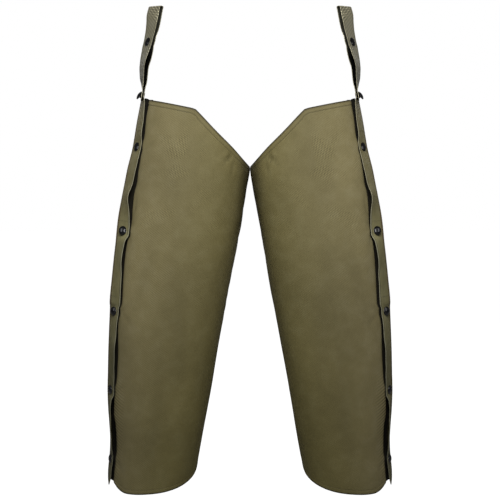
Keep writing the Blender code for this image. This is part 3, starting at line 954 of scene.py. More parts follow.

# %% [markdown]
# ### Finishes
# The cloth's own colour is a dull olive.  The coating leaves it almost matt, with a weak broad
# gloss, and the weave shows in its bump.  The placket and the loop are greyer in the photograph,
# and the inside of the strips is painted near black, a painted shade, because hardly any light
# gets there.

# %% Table of finishes
# stitch_line and rim_width in millimetres; rim: how much lighter the edge is painted, a painted
# highlight, with a darker band where it is below 0; sunk: how much darker the stitch line is
# painted, painted shade of its groove; rib: the weave's pitch in metres; contrast: how far it
# shows.
Finish = namedtuple(
    "Finish", "color stitch_line rim rim_width sunk rough bump rib contrast kind")
FINISHES = {
    "panel_cloth": Finish(
        (0.168, 0.144, 0.062), 9.4, -0.85, 2.4, 0.18, 0.72, 0.5, 0.0036, 0.13, "panel"),
    "placket_cloth": Finish(
        (0.247, 0.227, 0.112), 3.0, 0.12, 1.5, 0.5, 0.66, 0.5, 0.0030, 0.13, "placket"),
    "loop_cloth": Finish(
        (0.236, 0.220, 0.151), 3.0, 0.22, 1.7, 0.4, 0.66, 0.38, 0.0060, 0.44, "loop"),
    "wrong_side": Finish(
        (0.100, 0.089, 0.050), 10.0, 0.0, 1.4, 0.2, 0.82, 0.4, 0.0036, 0.10, "inside"),
    # the strips' insides are near black: painted shade where hardly any light gets in
    "strip_inside": Finish(
        (0.010, 0.010, 0.007), 3.0, 0.0, 1.4, 0.2, 0.82, 0.4, 0.0030, 0.10, "inside"),
    "loop_inside": Finish(
        (0.014, 0.014, 0.011), 3.0, 0.0, 1.4, 0.2, 0.82, 0.4, 0.0030, 0.10, "loop_inside"),
}
GLOSS = 0.28               # specular level of the coated face; the insides have none
BUMP_DEPTH = 0.0004        # metres
DUSTY = (1.04, 1.06, 1.16)                       # how much lighter and greyer dust makes a colour
print("finishes:", len(FINISHES))

# %% [markdown]
# Each cloth differs from the others in a few places.  The panel is painted lighter beside the
# closure, painted light on the leg's outer side, is greyer there and browner towards the inner
# side; its ribs beside the lower closure get painted light and shade, as raking light shows
# them; and its dip, its creases and the inside of the thighs get painted shade, darker than the
# lamps alone make them.  The placket darkens to the hem, with a painted greyish highlight along
# its folded edge in front and a brown edge behind.

# %% What is particular to the panel
RAISED_PITCH, RAISED_LEAN = 0.0064, 0.42         # ribs painted lighter and darker as raking light shows them: metres, radians
RIB_PAINTED_LIGHT_SHARE = 0.44
PAINTED_SHADE_SHARE = 0.96        # full strength of the painted shade in the panel's colour


def panel_look(tree, color, level, u, v):
    """Colour and brightness of the panel with its painted light and shade, and its mask of painted
    shade.
    """
    tucked = add(tree, "ShaderNodeAttribute", out="Fac", attribute_name="tucked")
    # painted light: the colour grows lighter towards the closure, on the leg's outer side
    painted_outer_light = u.span(0.0, -0.095, 1.0, 1.36)
    # painted light and shade of the ribs beside the lower closure, as raking light shows them
    ribs = ((v * math.cos(RAISED_LEAN) + u * math.sin(RAISED_LEAN)) * (TURN / RAISED_PITCH)).sine()
    by_calf = u.span(-0.066, -0.096) * v.span(-0.76, -0.84)
    raised = by_calf * (ribs * RIB_PAINTED_LIGHT_SHARE)
    # the mask's painted shade darkens the dip, the inside of the thighs and the creases
    level = level * (painted_outer_light * (raised + 1.0)) * (1.0 - tucked * PAINTED_SHADE_SHARE)
    browner = u.span(-0.07, 0.02) * v.span(-0.58, -0.95, 0.0, 0.13)
    blue = u.span(-0.095, 0.11, 1.15, 0.93) - browner
    tint = add(tree, "ShaderNodeCombineXYZ", {0: 1.0, 1: 1.0, 2: blue})
    color = add(tree, "ShaderNodeVectorMath", {0: color, 1: tint}, operation="MULTIPLY")
    return color, level, tucked


print("raised ribs are", RAISED_PITCH / MM, "mm apart")

# %% What is particular to the placket and the loop
LOOP_INSIDE_PAINTED_LIGHT = (-0.09, -0.18, 0.5, 3.0)      # painted light: the loop's inside is painted lighter up to its fold, where more light gets in
BROWN = (0.140, 0.090, 0.044, 1.0)
PAINTED_EDGE_HIGHLIGHT = (0.240, 0.234, 0.158, 1.0)           # painted highlight: the placket's folded edge is painted lighter and greyer


def placket_look(tree, color, level, u, v, rim):
    color = blend(tree, rim, color, PAINTED_EDGE_HIGHLIGHT)
    back_edge_rub, top_rub = u.span(0.008, 0.005) * 0.7, v.span(-0.47, -0.40) * 0.18
    color = blend(tree, back_edge_rub.larger(top_rub), color, BROWN)
    return color, level * v.span(-0.92, -0.66, 0.72, 1.10)


def rim_share(finish, v):
    """How much lighter the edge is painted, a painted highlight; on the loop that fades out down
    its front layer.
    """
    return v.span(-0.33, -0.27, 0.0, finish.rim) if finish.kind == "loop" else finish.rim


print("brown:", BROWN[:3])


# %% Cloth materials
def new_material(name):
    """A material with its tree and its shader."""
    material = bpy.data.materials.new(name)
    material.use_nodes = True
    return material, material.node_tree, material.node_tree.nodes["Principled BSDF"]


def cloth_material(name, finish):
    material, tree, shader = new_material(name)
    weave = use_group(tree, weave_group, Rib_Pitch=finish.rib, Contrast=finish.contrast)
    tone = use_group(tree, tone_group)
    marks = use_group(
        tree, edge_group, Stitch_Line=finish.stitch_line, Rim_Width=finish.rim_width)
    _, u, v = cloth_map(tree)
    # lit: a painted highlight along the strips' edges, a darker band on the panel's; dark: painted
    # shade along the stitch line's groove
    lit = marks["Rim"] * rim_share(finish, v) + 1.0
    dark = 1.0 - marks["Sunk"] * v.span(-0.95, -0.80, 0.15, finish.sunk)
    level = weave["Shade"] * tone["Tone"] * (lit * dark)
    dusty = tuple(min(1.0, c * f) for c, f in zip(finish.color, DUSTY))
    color = blend(tree, tone["Dust"], (*finish.color, 1.0), (*dusty, 1.0))
    rough = tone["Dust"] * 0.1 + finish.rough
    if finish.kind == "loop_inside":
        level = level * v.span(*LOOP_INSIDE_PAINTED_LIGHT)
    if finish.kind == "placket":
        color, level = placket_look(tree, color, level, u, v, marks["Rim"])
    if finish.kind == "panel":
        color, level, tucked = panel_look(tree, color, level, u, v)
        rough = rough.larger(tucked)
    shaded = add(tree, "ShaderNodeVectorMath", {0: color, "Scale": level}, operation="SCALE")
    bump = add(tree, "ShaderNodeBump", {
        "Strength": finish.bump, "Distance": BUMP_DEPTH, "Height": weave["Height"]})
    give(shader, Base_Color=shaded, Normal=bump, Roughness=rough)
    shader.inputs["Specular IOR Level"].default_value = 0.0 if "inside" in finish.kind else GLOSS
    return material


cloths = {name: cloth_material(name, finish) for name, finish in FINISHES.items()}
print("cloths:", ", ".join(cloths))

# %% [markdown]
# ## The leg panels
# The wall is built on the grid above and mirrored for the right leg.  It replaces the plain
# solid, which stays in the physics.  A plain studio light would still reach far into the dip
# and between the legs, so a mask says where shade is painted into the panel's colour.

# %% Where shade is painted on the panel
TUCK_START = ((-1050, 2), (-600, 2), (-470, -2), (-400, -3), (-330, -1), (-280, 0), (-200, 1))
CREASE_SHADE = 0.11
THIGH_SHADE, THIGH_SHADE_LOW = 0.5, -560   # painted shade where the legs shut the light off from each other


def shadow_mask(creases):
    """Painted shade: full in the dip, partly between the thighs and in the creases.

    TUCK_START shifts the dip's dark edge by some columns at each height.
    """
    z = panel_form[:, :, 2]
    levels, shifts = zip(*TUCK_START)
    start = FOLD_COLUMN + np.interp(z, levels, shifts)
    dip = 1 - smooth_step((np.arange(z.shape[1]) - start) / 8.5, 0.0, 1.0)
    between = smooth_step(panel_walk, 132.0, 172.0) * (1 - smooth_step(panel_walk, 215.0, 260.0))
    thigh = THIGH_SHADE * between * smooth_step(z, THIGH_SHADE_LOW, LEG_TOP - 130.0)
    crease = CREASE_SHADE * np.clip(crease_depth(panel_walk, z, creases), 0.0, 2.5)
    return np.maximum(dip, np.maximum(thigh, crease))


print("the dip's edge moves by up to", max(abs(s) for _, s in TUCK_START), "columns")

# %% [markdown]
# A sheet's cut is what its cloth measures when it is laid flat.  The panel's is 785 mm round at
# the widest and 850 mm long, less the slope of the top edge and the taper to the hem.

panels = {}
for name, side in SIDES.items():
    face, thickness = panel_faces[name]
    uv = np.stack([panel_walk, panel_form[:, :, 2]], axis=-1)
    panels[name] = cloth_wall(
        f"{name}_leg_cloth", face, thickness, uv, panel_edge, side,
        (cloths["panel_cloth"], cloths["wrong_side"]), shadow_mask(side_creases(name)))
    area = sum(p.area for p in panels[name].data.polygons) / 2
    print(panels[name].name, len(panels[name].data.polygons), "faces, cloth", round(area, 3), "m2")

# %% [markdown]
# ## Placket and belt loop
# Both are one strip of doubled cloth, 42 mm wide, with a line of stitches close to each edge.
# The strip's face swells a little between the lines.  Both strips share the same columns, which
# lie close together at the stitches.

# %% Relief of a doubled strip
STRIP_STITCH = 3.0                     # from each long edge to its line of stitches
ACROSS = np.array([0.0, 0.5, 1.2, 2.1, 3.0, 3.9, 5.5, 8.5, 12.5, 17.0, 21.0,
                   25.0, 29.5, 33.5, 36.5, 38.1, 39.0, 39.9, 40.8, 41.5, 42.0])
FROM_EDGE = np.minimum(ACROSS, STRIP_WIDTH - ACROSS)
STRIP_RELIEF = (0.25 * smooth_step(FROM_EDGE, STRIP_STITCH, 9.0)
                - 0.3 * np.exp(-((FROM_EDGE - STRIP_STITCH) / 0.8) ** 2))


def strip_wall(name, face, wall, down, side, materials):
    """A strip's wall from its face; down is the way down its length, for the UV map."""
    uv = np.stack(np.broadcast_arrays(ACROSS[None, :], down[:, None]), axis=-1)
    edge = np.broadcast_to(FROM_EDGE, face.shape[:2])
    return cloth_wall(name, face, np.full(face.shape[:2], wall), uv, edge, side, materials)


print("strip:", len(ACROSS), "columns")

# %% [markdown]
# The placket is sewn down along its back edge and only held by studs in front.  So its front
# edge waves a little between the studs, in two uneven lengths that never repeat together.

# %% Plackets
placket_z = np.linspace(LEG_TOP, PLACKET_END, 236)
WAVE_FREE = 45.0           # mm from a stud at which the edge is quite free


def placket_grid():
    """Points of the placket's outer face."""
    spots = [strip_point(placket_z, distance) for distance in ACROSS]
    return np.stack([np.stack([s.real, s.imag, placket_z], axis=1) for s in spots], axis=1)


placket_form = placket_grid()
from_stud = np.min([abs(placket_z - z) for z in PLACKET_STUDS.values()], axis=0)
placket_wave = ((0.5 * np.sin(placket_z / 17.0 + 1.0) + 0.35 * np.sin(placket_z / 7.3))
                * smooth_step(from_stud, 12, WAVE_FREE))
free_edge = smooth_step(ACROSS, STUD_LINE + 4, STRIP_WIDTH)
placket_lift = STRIP_RELIEF[None, :] + free_edge[None, :] * placket_wave[:, None]
placket_face = placket_form + grid_normals(placket_form) * placket_lift[:, :, None]
plackets = {name: strip_wall(f"{name}_placket_cloth", placket_face, CLOTH_WALL, placket_z, side,
                             (cloths["placket_cloth"], cloths["strip_inside"]))
            for name, side in SIDES.items()}
print("placket:", len(plackets["left"].data.polygons), "faces")

# %% [markdown]
# ### Belt loops
# The belt loop is one length that goes up behind, over the belt and down in front, where two
# studs hold it.  It hangs by its own weight here, a little twisted, and its layers stand apart
# where nothing holds them.  Its tables say where the front layer runs, how far it is turned,
# and how far the layers stand apart in the middle and at each edge.

# %% Tables of the belt loop
# out, y: middle of the loop's front layer; turn: how far it faces sideways, in degrees;
# gap: room between the layers.
Loop = namedtuple("Loop", "z out y turn gap")
LOOP = (
    Loop(-4, 201.0, 0.5, 51.3, 7.4),
    Loop(-20, 204.9, 0.0, 49.4, 7.4),
    Loop(-35, 206.8, -1.0, 52.8, 7.2),
    Loop(-51, 209.2, -2.0, 55.3, 6.2),
    Loop(-68, 212.8, -3.8, 57.5, 3.2),
    Loop(-78, 215.2, -4.8, 58.6, 2.6),
    Loop(-101, 221.1, -8.0, 63.0, 6.4),
    Loop(-118, 225.4, -10.2, 68.0, 9.0),
    Loop(-134, 227.5, -12.4, 71.0, 7.6),
    Loop(-151, 227.3, -14.8, 73.0, 4.4),
    Loop(-168, 225.8, -18.0, 79.0, 2.8),
    Loop(-180, 225.4, -20.6, 83.0, 2.6),
    Loop(-189, 226.8, -22.2, 83.0, 2.6),
    Loop(-200, 228.5, -24.2, 80.0, 2.6),
)
# ahead: the extra room at the front edge; shut: the share of the room that is closed at the back.
LoopEdge = namedtuple("LoopEdge", "z ahead shut")
LOOP_EDGE = (
    LoopEdge(-4, 0.0, 0.0),
    LoopEdge(-51, 1.0, 0.0),
    LoopEdge(-68, 2.6, 0.0),
    LoopEdge(-78, 3.2, 0.0),
    LoopEdge(-92, 2.4, 0.0),
    LoopEdge(-118, 1.4, 0.2),
    LoopEdge(-134, 0.9, 0.8),
    LoopEdge(-151, 2.8, 0.9),
    LoopEdge(-162, 3.2, 0.9),
    LoopEdge(-173, 2.2, 0.9),
    LoopEdge(-183, 1.0, 0.9),
    LoopEdge(-200, 0.4, 0.9),
)
loop, loop_edge = readers(LOOP), readers(LOOP_EDGE)
print("belt loop:", len(LOOP), "levels")

# %% Sections of the belt loop
LOOP_WALL = 1.2                        # one layer
LOOP_FOLD, LOOP_FRONT_END = -5.0, -199.0
LOOP_JOIN = (-194.5, -199.2)           # where the back layer comes into line with the placket
LOOP_STUDS = {"loop_upper": -78.0, "loop_lower": -189.0}


def loop_layer(z):
    """The loop's section at a level: middle of its front face, directions, room inside."""
    level = seated(z, tuple(LOOP_STUDS.values()))
    across, outward = facing(loop["turn"](level))
    return loop["out"](z) + 1j * loop["y"](z), across, outward, loop["gap"](level)


def loop_back(z, distance):
    """The far face of the loop's back layer; its lower end lies in line with the placket."""
    middle, across, outward, gap = loop_layer(z)
    share = (2 * distance / STRIP_WIDTH) ** 2
    if distance > 0:
        gap = gap + loop_edge["ahead"](z) * share
    else:
        gap = gap * (1 - loop_edge["shut"](z) * share)
    own = middle + across * distance - outward * (2 * LOOP_WALL + gap)
    placket = strip_point(z, STRIP_WIDTH / 2 + distance, CLOTH_WALL)
    joined = smooth_step(-z, -LOOP_JOIN[0], -LOOP_JOIN[1])
    return own * (1 - joined) + placket * joined


print("loop's layers at its fold:", round(float(loop_layer(LOOP_FOLD)[3]), 1), "mm apart")

# %% Belt loops
LOOP_BACK_Z = np.linspace(LOOP_JOIN[1], LOOP_FOLD, 58)
LOOP_FRONT_Z = np.linspace(LOOP_FOLD, LOOP_FRONT_END, 58)
LOOP_TURNS = np.radians(np.arange(15, 180, 15))
LOOP_FOLD_FLAT = 0.5                   # the fold is pressed flatter than a half circle
LOOP_TILT, LOOP_TILT_REACH = 1.9, 45.0  # the fold is higher at its back edge
LOOP_SWELL = 0.6                       # the share of the strips' relief that the thin loop has


def loop_grid():
    """Points of the loop's outside: up the back layer, over the fold and down the front."""
    columns = []
    middle, across, outward, gap = loop_layer(LOOP_FOLD)
    radius = LOOP_WALL + gap / 2
    front_middle, front_across, _, _ = loop_layer(LOOP_FRONT_Z)
    fold_z = LOOP_FOLD + LOOP_FOLD_FLAT * radius * np.sin(LOOP_TURNS)
    for distance in ACROSS - STRIP_WIDTH / 2:
        over = middle - outward * radius * (1 + np.cos(LOOP_TURNS)) + across * distance
        front = front_middle + front_across * distance
        spot = np.concatenate([loop_back(LOOP_BACK_Z, distance), over, front])
        z = np.concatenate([LOOP_BACK_Z, fold_z, LOOP_FRONT_Z])
        near_fold = smooth_step(z, LOOP_FOLD - LOOP_TILT_REACH, LOOP_FOLD)
        z = z - LOOP_TILT * distance / (STRIP_WIDTH / 2) * near_fold
        columns.append(np.stack([spot.real, spot.imag, z], axis=1))
    return np.stack(columns, axis=1)


loop_form = loop_grid()
loop_face = loop_form + grid_normals(loop_form) * (LOOP_SWELL * STRIP_RELIEF)[None, :, None]
middle_line = loop_form[:, len(ACROSS) // 2]
loop_steps = np.linalg.norm(np.diff(middle_line, axis=0), axis=1)
loop_walk = np.concatenate([[0.0], np.cumsum(loop_steps)])
loops = {name: strip_wall(f"{name}_loop_cloth", loop_face, LOOP_WALL, -loop_walk, side,
                          (cloths["loop_cloth"], cloths["loop_inside"]))
         for name, side in SIDES.items()}
print("loop:", len(loops["left"].data.polygons), "faces,",
      round(float(loop_walk[-1])), "mm of strip")

# %% [markdown]
# ## Press studs
# A press stud is three pressed parts: a domed cap outside, a snapped socket between the layers
# and a ring inside.  Stacked cylinders would miss the dome and the rolled rim.  Each part is
# round, so a profile that is turned about the part's axis gives all of it at once.  Its brass
# is under black lacquer, which is scratched to a dull brown-grey in places.


# %% Stud metal
def make_stud_metal():
    material, tree, shader = new_material("stud_lacquer")
    place = add(tree, "ShaderNodeTexCoord", out="Object")
    scratched = noise(tree, place, 900.0, 3.0).span(0.58, 0.75)
    color = blend(tree, scratched, (0.008, 0.008, 0.009, 1), (0.05, 0.048, 0.045, 1))
    give(shader, Base_Color=color, Roughness=scratched * 0.25 + 0.22)
    shader.inputs["Metallic"].default_value = 0.35
    shader.inputs["Coat Weight"].default_value = 0.4
    shader.inputs["Coat Roughness"].default_value = 0.15
    return material


stud_metal = make_stud_metal()
print("metal:", stud_metal.name)

# %% Turned masters
# (radius, height) in millimetres, from the top centre round the outside to the back centre
CAP_RADIUS, POST_LENGTH = 9.35, 4.8
PROFILES = {
    "cap": ((0.0, 3.8), (2.1, 3.73), (4.2, 3.45), (6.0, 2.92), (7.2, 2.32), (8.0, 1.82),
            (8.4, 1.62), (8.9, 1.5), (9.25, 1.15), (CAP_RADIUS, 0.7), (9.25, 0.25), (8.9, 0.0),
            (3.9, 0.0), (3.6, -0.4), (3.4, -POST_LENGTH), (0.0, -POST_LENGTH)),
    "socket": ((0.0, 2.0), (3.2, 2.0), (4.1, 1.85), (4.4, 1.5), (4.0, 1.15), (4.0, 0.85),
               (4.4, 0.5), (4.1, 0.15), (3.2, 0.0), (0.0, 0.0)),
    "ring": ((0.0, 1.0), (1.6, 1.0), (2.0, 0.7), (3.2, 0.7), (3.8, 1.1), (4.6, 1.2), (5.2, 1.0),
             (5.4, 0.6), (5.2, 0.15), (4.6, 0.0), (0.0, 0.0)),
}
TURN_STEPS = {"cap": 40, "socket": 28, "ring": 28}


def turned(name, profile, steps, material):
    """A closed turned piece from its profile."""
    inner = profile[1:-1]
    angles = [2 * math.pi * k / steps for k in range(steps)]
    points = [(0, 0, profile[0][1])]
    points += [(r * math.cos(a), r * math.sin(a), h) for r, h in inner for a in angles]
    points.append((0, 0, profile[-1][1]))
    ahead = [(k + 1) % steps for k in range(steps)]
    faces = [(0, 1 + k, 1 + ahead[k]) for k in range(steps)]
    for i in range(len(inner) - 1):
        low, high = 1 + i * steps, 1 + (i + 1) * steps
        faces += [(low + k, high + k, high + ahead[k], low + ahead[k]) for k in range(steps)]
    last, end = 1 + (len(inner) - 1) * steps, len(points) - 1
    faces += [(end, last + ahead[k], last + k) for k in range(steps)]
    mesh = bpy.data.meshes.new(name)
    mesh.from_pydata([tuple(v * MM for v in p) for p in points], [], faces)
    mesh.materials.append(material)
    mesh.shade_smooth()
    return put_in_scene(name, mesh)


masters = {part: turned(f"{part}_master", profile, TURN_STEPS[part], stud_metal)
           for part, profile in PROFILES.items()}
print("stud masters:", {k: len(o.data.polygons) for k, o in masters.items()})

# %% [markdown]
# Fourteen studs could be copied by a loop, but a Geometry Nodes tree does it once for all: it
# sets a copy of one part on every point of a carrier mesh and turns it to the direction that
# the point keeps.  The same carrier, with lines instead of points, serves the sewing later.


# %% Tree: a part on every point
def stored_direction(tree):
    """The direction out of the cloth that each point of the carrier keeps."""
    return add(tree, "GeometryNodeInputNamedAttribute", {"Name": "outward"},
               data_type="FLOAT_VECTOR")


def finish_tree(tree, copies, finish, result, smooth=False):
    """End a tree: the copies become real mesh, because the export drops instances."""
    real = add(tree, "GeometryNodeRealizeInstances", {0: copies})
    if smooth:
        real = add(tree, "GeometryNodeSetShadeSmooth", {"Geometry": real})
    done = add(tree, "GeometryNodeSetMaterial", {"Geometry": real, "Material": finish})
    give(result, Geometry=done)


def make_setting_tree():
    tree, given, result = new_group(
        "set_on_cloth",
        [("Geometry", GEOMETRY, None), ("Part", "NodeSocketObject", None),
         ("Finish", "NodeSocketMaterial", None)],
        [("Geometry", GEOMETRY)], "GeometryNodeTree")
    part = add(tree, "GeometryNodeObjectInfo", {"Object": given["Part"]}, out="Geometry")
    outward = stored_direction(tree)
    turn = add(tree, "FunctionNodeAlignRotationToVector", {"Vector": outward}, axis="Z")
    placed = add(tree, "GeometryNodeInstanceOnPoints", {
        "Points": given["Geometry"], "Instance": part, "Rotation": turn})
    finish_tree(tree, placed, given["Finish"], result)
    return tree


setting_tree = make_setting_tree()
print("tree:", setting_tree.name)


# %% Run a tree on a carrier
def marked_lines(name, lines):
    """A mesh of open lines, or of single points, with the direction out of the cloth at each."""
    points, edges, outward = [], [], []
    for line, directions in lines:
        edges += [(len(points) + k, len(points) + k + 1) for k in range(len(line) - 1)]
        points += [tuple(p) for p in line]
        outward += [tuple(d) for d in directions]
    mesh = bpy.data.meshes.new(name)
    mesh.from_pydata(points, edges, [])
    mark = mesh.attributes.new("outward", "FLOAT_VECTOR", "POINT")
    mark.data.foreach_set("vector", np.array(outward, np.float32).ravel())
    return put_in_scene(name, mesh)


def grown(name, carrier, tree, **values):
    """Run a Geometry Nodes tree on a carrier and keep the result as a plain mesh."""
    modifier = carrier.modifiers.new("grow", "NODES")
    modifier.node_group = tree
    sockets = {item.name: item.identifier for item in tree.interface.items_tree
               if item.item_type == "SOCKET" and item.in_out == "INPUT"}
    for label, value in values.items():
        modifier[sockets[label]] = value
    graph = bpy.context.evaluated_depsgraph_get()
    mesh = bpy.data.meshes.new_from_object(carrier.evaluated_get(graph))
    mesh.name = name
    bpy.data.objects.remove(carrier)
    return put_in_scene(name, mesh)


print("inputs:", [item.name for item in setting_tree.interface.items_tree
                  if item.in_out == "INPUT"])

# %% [markdown]
# ### Where the studs sit
# Each stud stands square on its strip, halfway between the cloth just above and just below it.
# On the real chaps the pull of the cloth tips the caps to the front, each by its own amount,
# and the weight of the leg pulls the belt loop's lower cap off its strip on a long post.

# %% Places of the studs
LOOP_STUD_SHIFT = 2.0                  # from the loop's middle line to its studs
STUD_CLEAR, RING_HEIGHT = 0.3, 1.2
CAP_LEAN = {"hip": 9.0, "thigh": 23.0, "knee": 18.0, "calf": 11.0, "hem": 11.0,
            "loop_upper": 6.0, "loop_lower": 18.0}         # degrees to the front
CAP_SINK = 1.2                         # mm that a tipped cap's rim may press into the cloth
LOW_CAP_LIFT, LOW_CAP_DROP, LOW_CAP_TIP = 4.6, 4.5, 22.0   # mm off, mm down, degrees up


def spot_and_outward(before, after, level, across):
    """A stud's place and direction from the cloth just above and below it."""
    along = np.array([(before - after).real, (before - after).imag, STUD_SEAT])
    outward = np.cross([across.real, across.imag, 0.0], along)
    outward /= np.linalg.norm(outward)
    middle = (before + after) / 2
    return np.array([middle.real, middle.imag, level]), outward * math.copysign(1, outward[0])


def stud_places():
    """(name, point, outward, wall) for the studs of one side."""
    half, found = STUD_SEAT / 2, []
    for name, z in PLACKET_STUDS.items():
        across = facing(closure["turn"](z))[0]
        above, below = strip_point(z + half, STUD_LINE), strip_point(z - half, STUD_LINE)
        found.append((name, *spot_and_outward(above, below, z, across), CLOTH_WALL))
    for name, z in LOOP_STUDS.items():
        across = loop_layer(z)[1]
        above, below = (loop_layer(z + h)[0] + across * LOOP_STUD_SHIFT for h in (half, -half))
        found.append((name, *spot_and_outward(above, below, z, across), LOOP_WALL))
    return found


def turned_forward(outward, lean, tip):
    """A direction turned to the front by a lean and then tipped up, in degrees."""
    c, s = math.cos(math.radians(lean)), math.sin(math.radians(lean))
    x, y, z = outward
    up = math.radians(tip)
    leaned = np.array([x * c + y * s, y * c - x * s, z])
    return leaned * math.cos(up) + np.array([0.0, 0.0, math.sin(up)])


def cap_setting(stud, point, outward):
    """A cap's point, direction and height over its cloth."""
    lean = CAP_LEAN[stud]
    if stud == "loop_lower":
        outward = turned_forward(outward, lean, LOW_CAP_TIP)
        return point - np.array([0.0, 0.0, LOW_CAP_DROP]), outward, STUD_CLEAR + LOW_CAP_LIFT
    raised = max(0.0, CAP_RADIUS * math.sin(math.radians(lean)) - CAP_SINK)
    return point, turned_forward(outward, lean, 0.0), STUD_CLEAR + raised


print("studs on a side:", len(stud_places()))

# %% Studs on the cloth
stud_pieces = {}
for name, side in SIDES.items():
    mirror = np.array([side, 1, 1])
    for part, master in masters.items():
        settings = []
        for stud, point, outward, wall in stud_places():
            if part == "cap":
                point, outward, height = cap_setting(stud, point, outward)
            elif part == "socket":
                height = -wall - STUD_STACK + STUD_CLEAR
            else:
                height = -2 * wall - STUD_STACK - STUD_CLEAR - RING_HEIGHT
            settings.append(([(point + outward * height) * mirror * MM], [outward * mirror]))
        carrier = marked_lines(f"{name}_{part}_points", settings)
        stud_pieces[name, part] = grown(
            f"{name}_stud_{part}s", carrier, setting_tree, Part=master, Finish=stud_metal)
for master in masters.values():
    bpy.data.objects.remove(master)
print("studs:", {k: len(o.data.polygons) for k, o in stud_pieces.items()})

# %% [markdown]
# ## Sewing
# Lines of lockstitch hold the hems and the strips, and a short bar of stitches crosses the
# placket above each stud.  A stitch is a short soft bead of thread, half sunk in the cloth.
# Geometry Nodes walk along each line at the stitch's pitch and lay one bead at every step, with
# a little jitter of fixed seed in its direction.

# %% Tree: a row of stitches
JITTER = 0.12


def make_stitch_tree():
    tree, given, result = new_group(
        "stitch_row",
        [("Geometry", GEOMETRY, None), ("Pitch", FLOAT, 0.0036), ("Length", FLOAT, 0.0027),
         ("Thickness", FLOAT, 0.0007), ("Seed", "NodeSocketInt", 3),
         ("Thread", "NodeSocketMaterial", None)],
        [("Geometry", GEOMETRY)], "GeometryNodeTree")
    line = add(tree, "GeometryNodeMeshToCurve", {"Mesh": given["Geometry"]})
    steps = add(tree, "GeometryNodeResampleCurve", {
        "Curve": line, "Length": given["Pitch"]}, mode="LENGTH")
    bead = add(tree, "GeometryNodeMeshUVSphere", {"Segments": 6, "Rings": 4, "Radius": 0.5})
    size = add(tree, "ShaderNodeCombineXYZ", {
        0: given["Length"], 1: given["Thickness"], 2: given["Thickness"]})
    jitter = add(tree, "FunctionNodeRandomValue", {
        0: (-JITTER,) * 3, 1: (JITTER,) * 3, "Seed": given["Seed"]}, data_type="FLOAT_VECTOR")
    tangent = add(tree, "GeometryNodeInputTangent")
    way = add(tree, "ShaderNodeVectorMath", {0: tangent, 1: jitter}, operation="ADD")
    first = add(tree, "FunctionNodeAlignRotationToVector", {"Vector": way}, axis="X")
    turn = add(tree, "FunctionNodeAlignRotationToVector", {
        "Rotation": first, "Vector": stored_direction(tree)}, axis="Z", pivot_axis="X")
    laid = add(tree, "GeometryNodeInstanceOnPoints", {
        "Points": steps, "Instance": bead, "Rotation": turn, "Scale": size})
    finish_tree(tree, laid, given["Thread"], result, smooth=True)
    return tree


stitch_tree = make_stitch_tree()
print("tree:", stitch_tree.name)


# %% Threads
def make_thread(name, dark, light):
    """Twisted thread: fine noise stands for its twist."""
    material, tree, shader = new_material(name)
    twist = noise(tree, add(tree, "ShaderNodeTexCoord", out="Object"), 700.0, 2.0)
    bump = add(tree, "ShaderNodeBump", {"Strength": 0.5, "Distance": 0.0002, "Height": twist})
    give(shader, Base_Color=blend(tree, twist, (*dark, 1), (*light, 1)), Normal=bump)
    shader.inputs["Roughness"].default_value = 0.6
    return material


dark_thread = make_thread("dark_thread", (0.055, 0.047, 0.024), (0.120, 0.104, 0.054))
pale_thread = make_thread("pale_thread", (0.072, 0.072, 0.061), (0.125, 0.124, 0.107))
print("threads:", dark_thread.name, "and", pale_thread.name)

# %% [markdown]
# A line of stitches runs at fractional rows and columns of a cloth's own grid, so it lies in
# the groove that the grid already has, whatever the creases do.

# %% Lines of sewing
STITCH_LIFT = 0.12
BARS_ABOVE = {"hip": 33.0, "thigh": 20.0, "knee": 32.0, "calf": 27.0, "hem": 29.0}
BAR_POINTS, BAR_INSET = 12, 4.5
LOOP_BAR_ENDS = (4, 38)                # from the edge of the loop's strip


def on_grid(face, rows, columns):
    """Points a little above a grid's face at fractional rows and columns, and their normals."""
    rows, columns = np.broadcast_arrays(np.asarray(rows, float), np.asarray(columns, float))
    r = np.clip(rows.astype(int), 0, face.shape[0] - 2)
    c = np.clip(columns.astype(int), 0, face.shape[1] - 2)
    a, b = (rows - r)[:, None], (columns - c)[:, None]

    def mixed(values):
        top = values[r, c] * (1 - b) + values[r, c + 1] * b
        low = values[r + 1, c] * (1 - b) + values[r + 1, c + 1] * b
        return top * (1 - a) + low * a
    outward = mixed(grid_normals(face))
    return mixed(face) + outward * STITCH_LIFT, outward


def panel_lines(face):
    """Along the top edge and along the hem."""
    columns = np.arange(9, face.shape[1] - 2.5, 0.5)
    row = float(np.where(BAND == HEM_DEPTH)[0][0])
    return [on_grid(face, r, columns) for r in (row, face.shape[0] - 1 - row)]


def columns_at(distance):
    """The fractional column of a strip's grid at a distance across."""
    return np.interp(distance, ACROSS, np.arange(len(ACROSS)))


def strip_line(face, row, start, end):
    """Across a strip, from one distance to another."""
    return on_grid(face, row, columns_at(np.linspace(start, end, BAR_POINTS)))


def long_lines(face):
    """Down both long edges of a strip."""
    rows = np.arange(0.5, len(face) - 1.2, 0.5)
    edges = (STRIP_STITCH, STRIP_WIDTH - STRIP_STITCH)
    return [on_grid(face, rows, columns_at(distance)) for distance in edges]


def bar_lines(face):
    """The bars above the placket's studs."""
    levels = [z + BARS_ABOVE[name] for name, z in PLACKET_STUDS.items()]
    rows = [np.interp(-level, -placket_z, np.arange(len(placket_z))) for level in levels]
    return [strip_line(face, row, BAR_INSET, STRIP_WIDTH - BAR_INSET) for row in rows]


LOOP_BAR_ROW = 56.0                    # of the front layer's rows, by its sewn end
loop_bar_row = len(LOOP_BACK_Z) + len(LOOP_TURNS) + LOOP_BAR_ROW
print("bars on a placket:", len(BARS_ABOVE))

